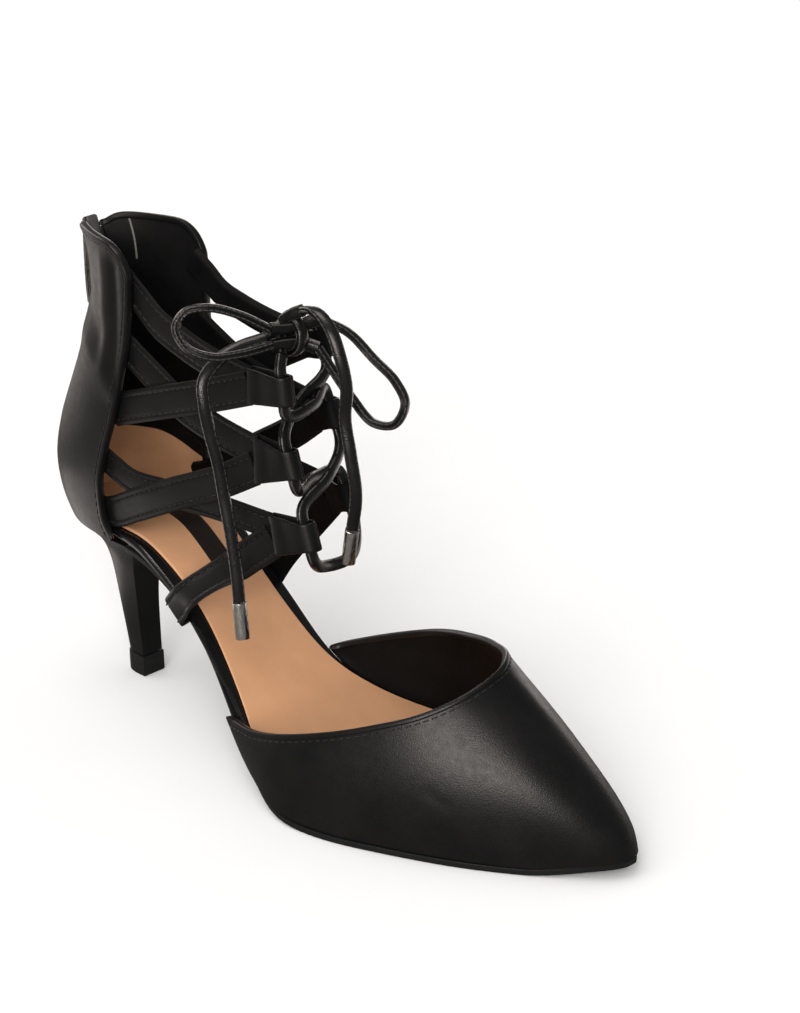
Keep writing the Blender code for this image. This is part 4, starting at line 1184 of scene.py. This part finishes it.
def make_zip():
    """Woven tapes, teeth, slider and pull."""
    heights = np.linspace(ZIP_FOOT_Z, TAPE_HEAD_Z, TAPE_STEPS + 1)

    def place(spot, row):
        point, _, out = back_frame(heights[spot])
        return point - out * TAPE_DEPTH + np.array([0.0, TAPE_WIDTH * (row / TAPE_ROWS - 0.5), 0.0])

    tape = laid_grid(TAPE_STEPS, TAPE_ROWS, place)
    use(tape, "SOLIDIFY", thickness=TAPE_WALL * MM, offset=0.0)
    settle(rounded(tape, 0.2, 1, 1), "zip_tape_strip", [TAPE], stands_for=["zip_chain"])
    tooth = block(TOOTH_SIZE)
    use(tooth, "BEVEL", width=TOOTH_ROUNDING * MM, segments=1)
    matrices = []
    places = np.arange(ZIP_FOOT_Z + FIRST_TOOTH, ZIP_HEAD_Z - LAST_TOOTH, TOOTH_SIZE[0])
    for n, height in enumerate(places):
        point, upwards, out = back_frame(height)
        aside = np.array([0.0, TOOTH_SIDE if n % 2 else -TOOTH_SIDE, 0.0])
        matrices.append(turned(upwards, out, (point + aside) * MM))
    settle(copies_at(tooth, matrices), "zip_teeth", [GUNMETAL])
    bpy.data.objects.remove(tooth)
    slider = open_slider(solid_copy("zip_slider"))
    movers = (("zip_slider", "zip_slider_body", "shoe", slider),
              ("zip_pull", "zip_pull_tab", "pull", solid_copy("zip_pull")))
    for node, name, body, thing in movers:
        settle(rounded(thing, 0.22, 2, 1, METAL_ANGLE), name, [GUNMETAL], body, [node])


# Stage
def make_stage():
    """Pale floor, soft studio light and the camera at the photograph's angle."""
    floor = added(bpy.ops.mesh.primitive_plane_add, size=8.0, location=(0.0, 0.0, 0.0))
    floor.name = "studio_floor"
    paper, wires, shader = new_material("pale_paper", Roughness=0.9, Specular_IOR_Level=0.1)
    tone = wires.blend(wires.noise(wires.place(), 30.0), (0.86, 0.85, 0.84), (0.88, 0.87, 0.86))
    mirrored = wires.add("LightPath").outputs["Is Glossy Ray"]
    wires.feed(shader, Base_Color=wires.blend(mirrored, tone, (0.19, 0.178, 0.17)))
    floor.data.materials.append(paper)
    world = bpy.data.worlds.new("studio_world")
    bpy.context.scene.world = world
    world.use_nodes = True
    wires = Wiring(world.node_tree)
    path = wires.add("LightPath").outputs
    strength = wires.maths("MULTIPLY_ADD", path["Is Glossy Ray"], -0.32, 0.5)
    strength = wires.maths("MULTIPLY_ADD", path["Is Camera Ray"], 0.6, strength)
    wires.feed(world.node_tree.nodes["Background"], Color=(1.0, 0.985, 0.97, 1.0), Strength=strength)
    # Suns that light matt surfaces only: name, turn in degrees, power and angle
    suns = (("sky", (20.0, -16.0, 0.0), 1.4, 70.0), ("front_fill", (64.0, 0.0, 40.0), 2.45, 40.0))
    for name, turn, power, angle in suns:
        turn = [math.radians(part) for part in turn]
        sun = added(bpy.ops.object.light_add, type="SUN", rotation=turn)
        sun.name = name
        sun.data.energy = power
        sun.data.angle = math.radians(angle)
        sun.visible_glossy = False
    # Panels and floor cards seen only in gloss: name, place, aim, size and power
    lamps = (
        ("key_panel", (0.42, -1.05, 0.55), (0.03, -0.02, 0.03), 0.45, 14.0),
        ("top_panel", (-0.30, -0.20, 1.30), (-0.03, 0.0, 0.06), 0.5, 8.0),
        ("back_panel", (-1.05, 0.05, 0.45), (-0.12, 0.0, 0.09), 0.5, 4.0),
        ("inner_panel", (-0.80, 0.90, 0.28), (-0.12, 0.0, 0.09), 0.5, 3.0),
        ("inner_card", (-0.03, 0.42, 0.002), (-0.03, 0.42, 1.0), 0.5, 1.3),
        ("far_card", (-0.70, -0.02, 0.002), (-0.70, -0.02, 1.0), 0.34, 0.42),
        ("near_card", (-0.26, -0.07, 0.002), (-0.26, -0.07, 1.0), 0.14, 0.10),
    )
    for name, spot, aim, size, power in lamps:
        turn = (Vector(aim) - Vector(spot)).to_track_quat("-Z", "Y").to_euler()
        lamp = added(bpy.ops.object.light_add, type="AREA", location=spot, rotation=turn)
        lamp.name = name
        lamp.data.size = size
        lamp.data.energy = power
        lamp.data.color = (1.0, 0.92, 0.87)
        lamp.visible_diffuse = False
        lamp.visible_camera = False
    turn = [math.radians(part) for part in (67.262, 0.921, 44.979)]
    camera = added(bpy.ops.object.camera_add, location=(0.4874, -0.4880, 0.3855), rotation=turn)
    camera.data.lens = 89.87
    camera.data.sensor_width = 36.0
    camera.data.clip_start = 0.01
    bpy.context.scene.camera = camera
    bpy.context.scene.view_settings.view_transform = "Standard"


make_stage()
stitch = make_stitch()
loops = {
    OUTER: make_straps(OUTER, "straps_outer_side", "straps_lateral", stitch),
    INNER: make_straps(INNER, "straps_inner_side", "straps_medial", stitch),
}
make_cords(loops)
make_vamp(stitch)
make_counter(stitch)
make_sole_unit()
make_zip()
bpy.data.objects.remove(stitch)
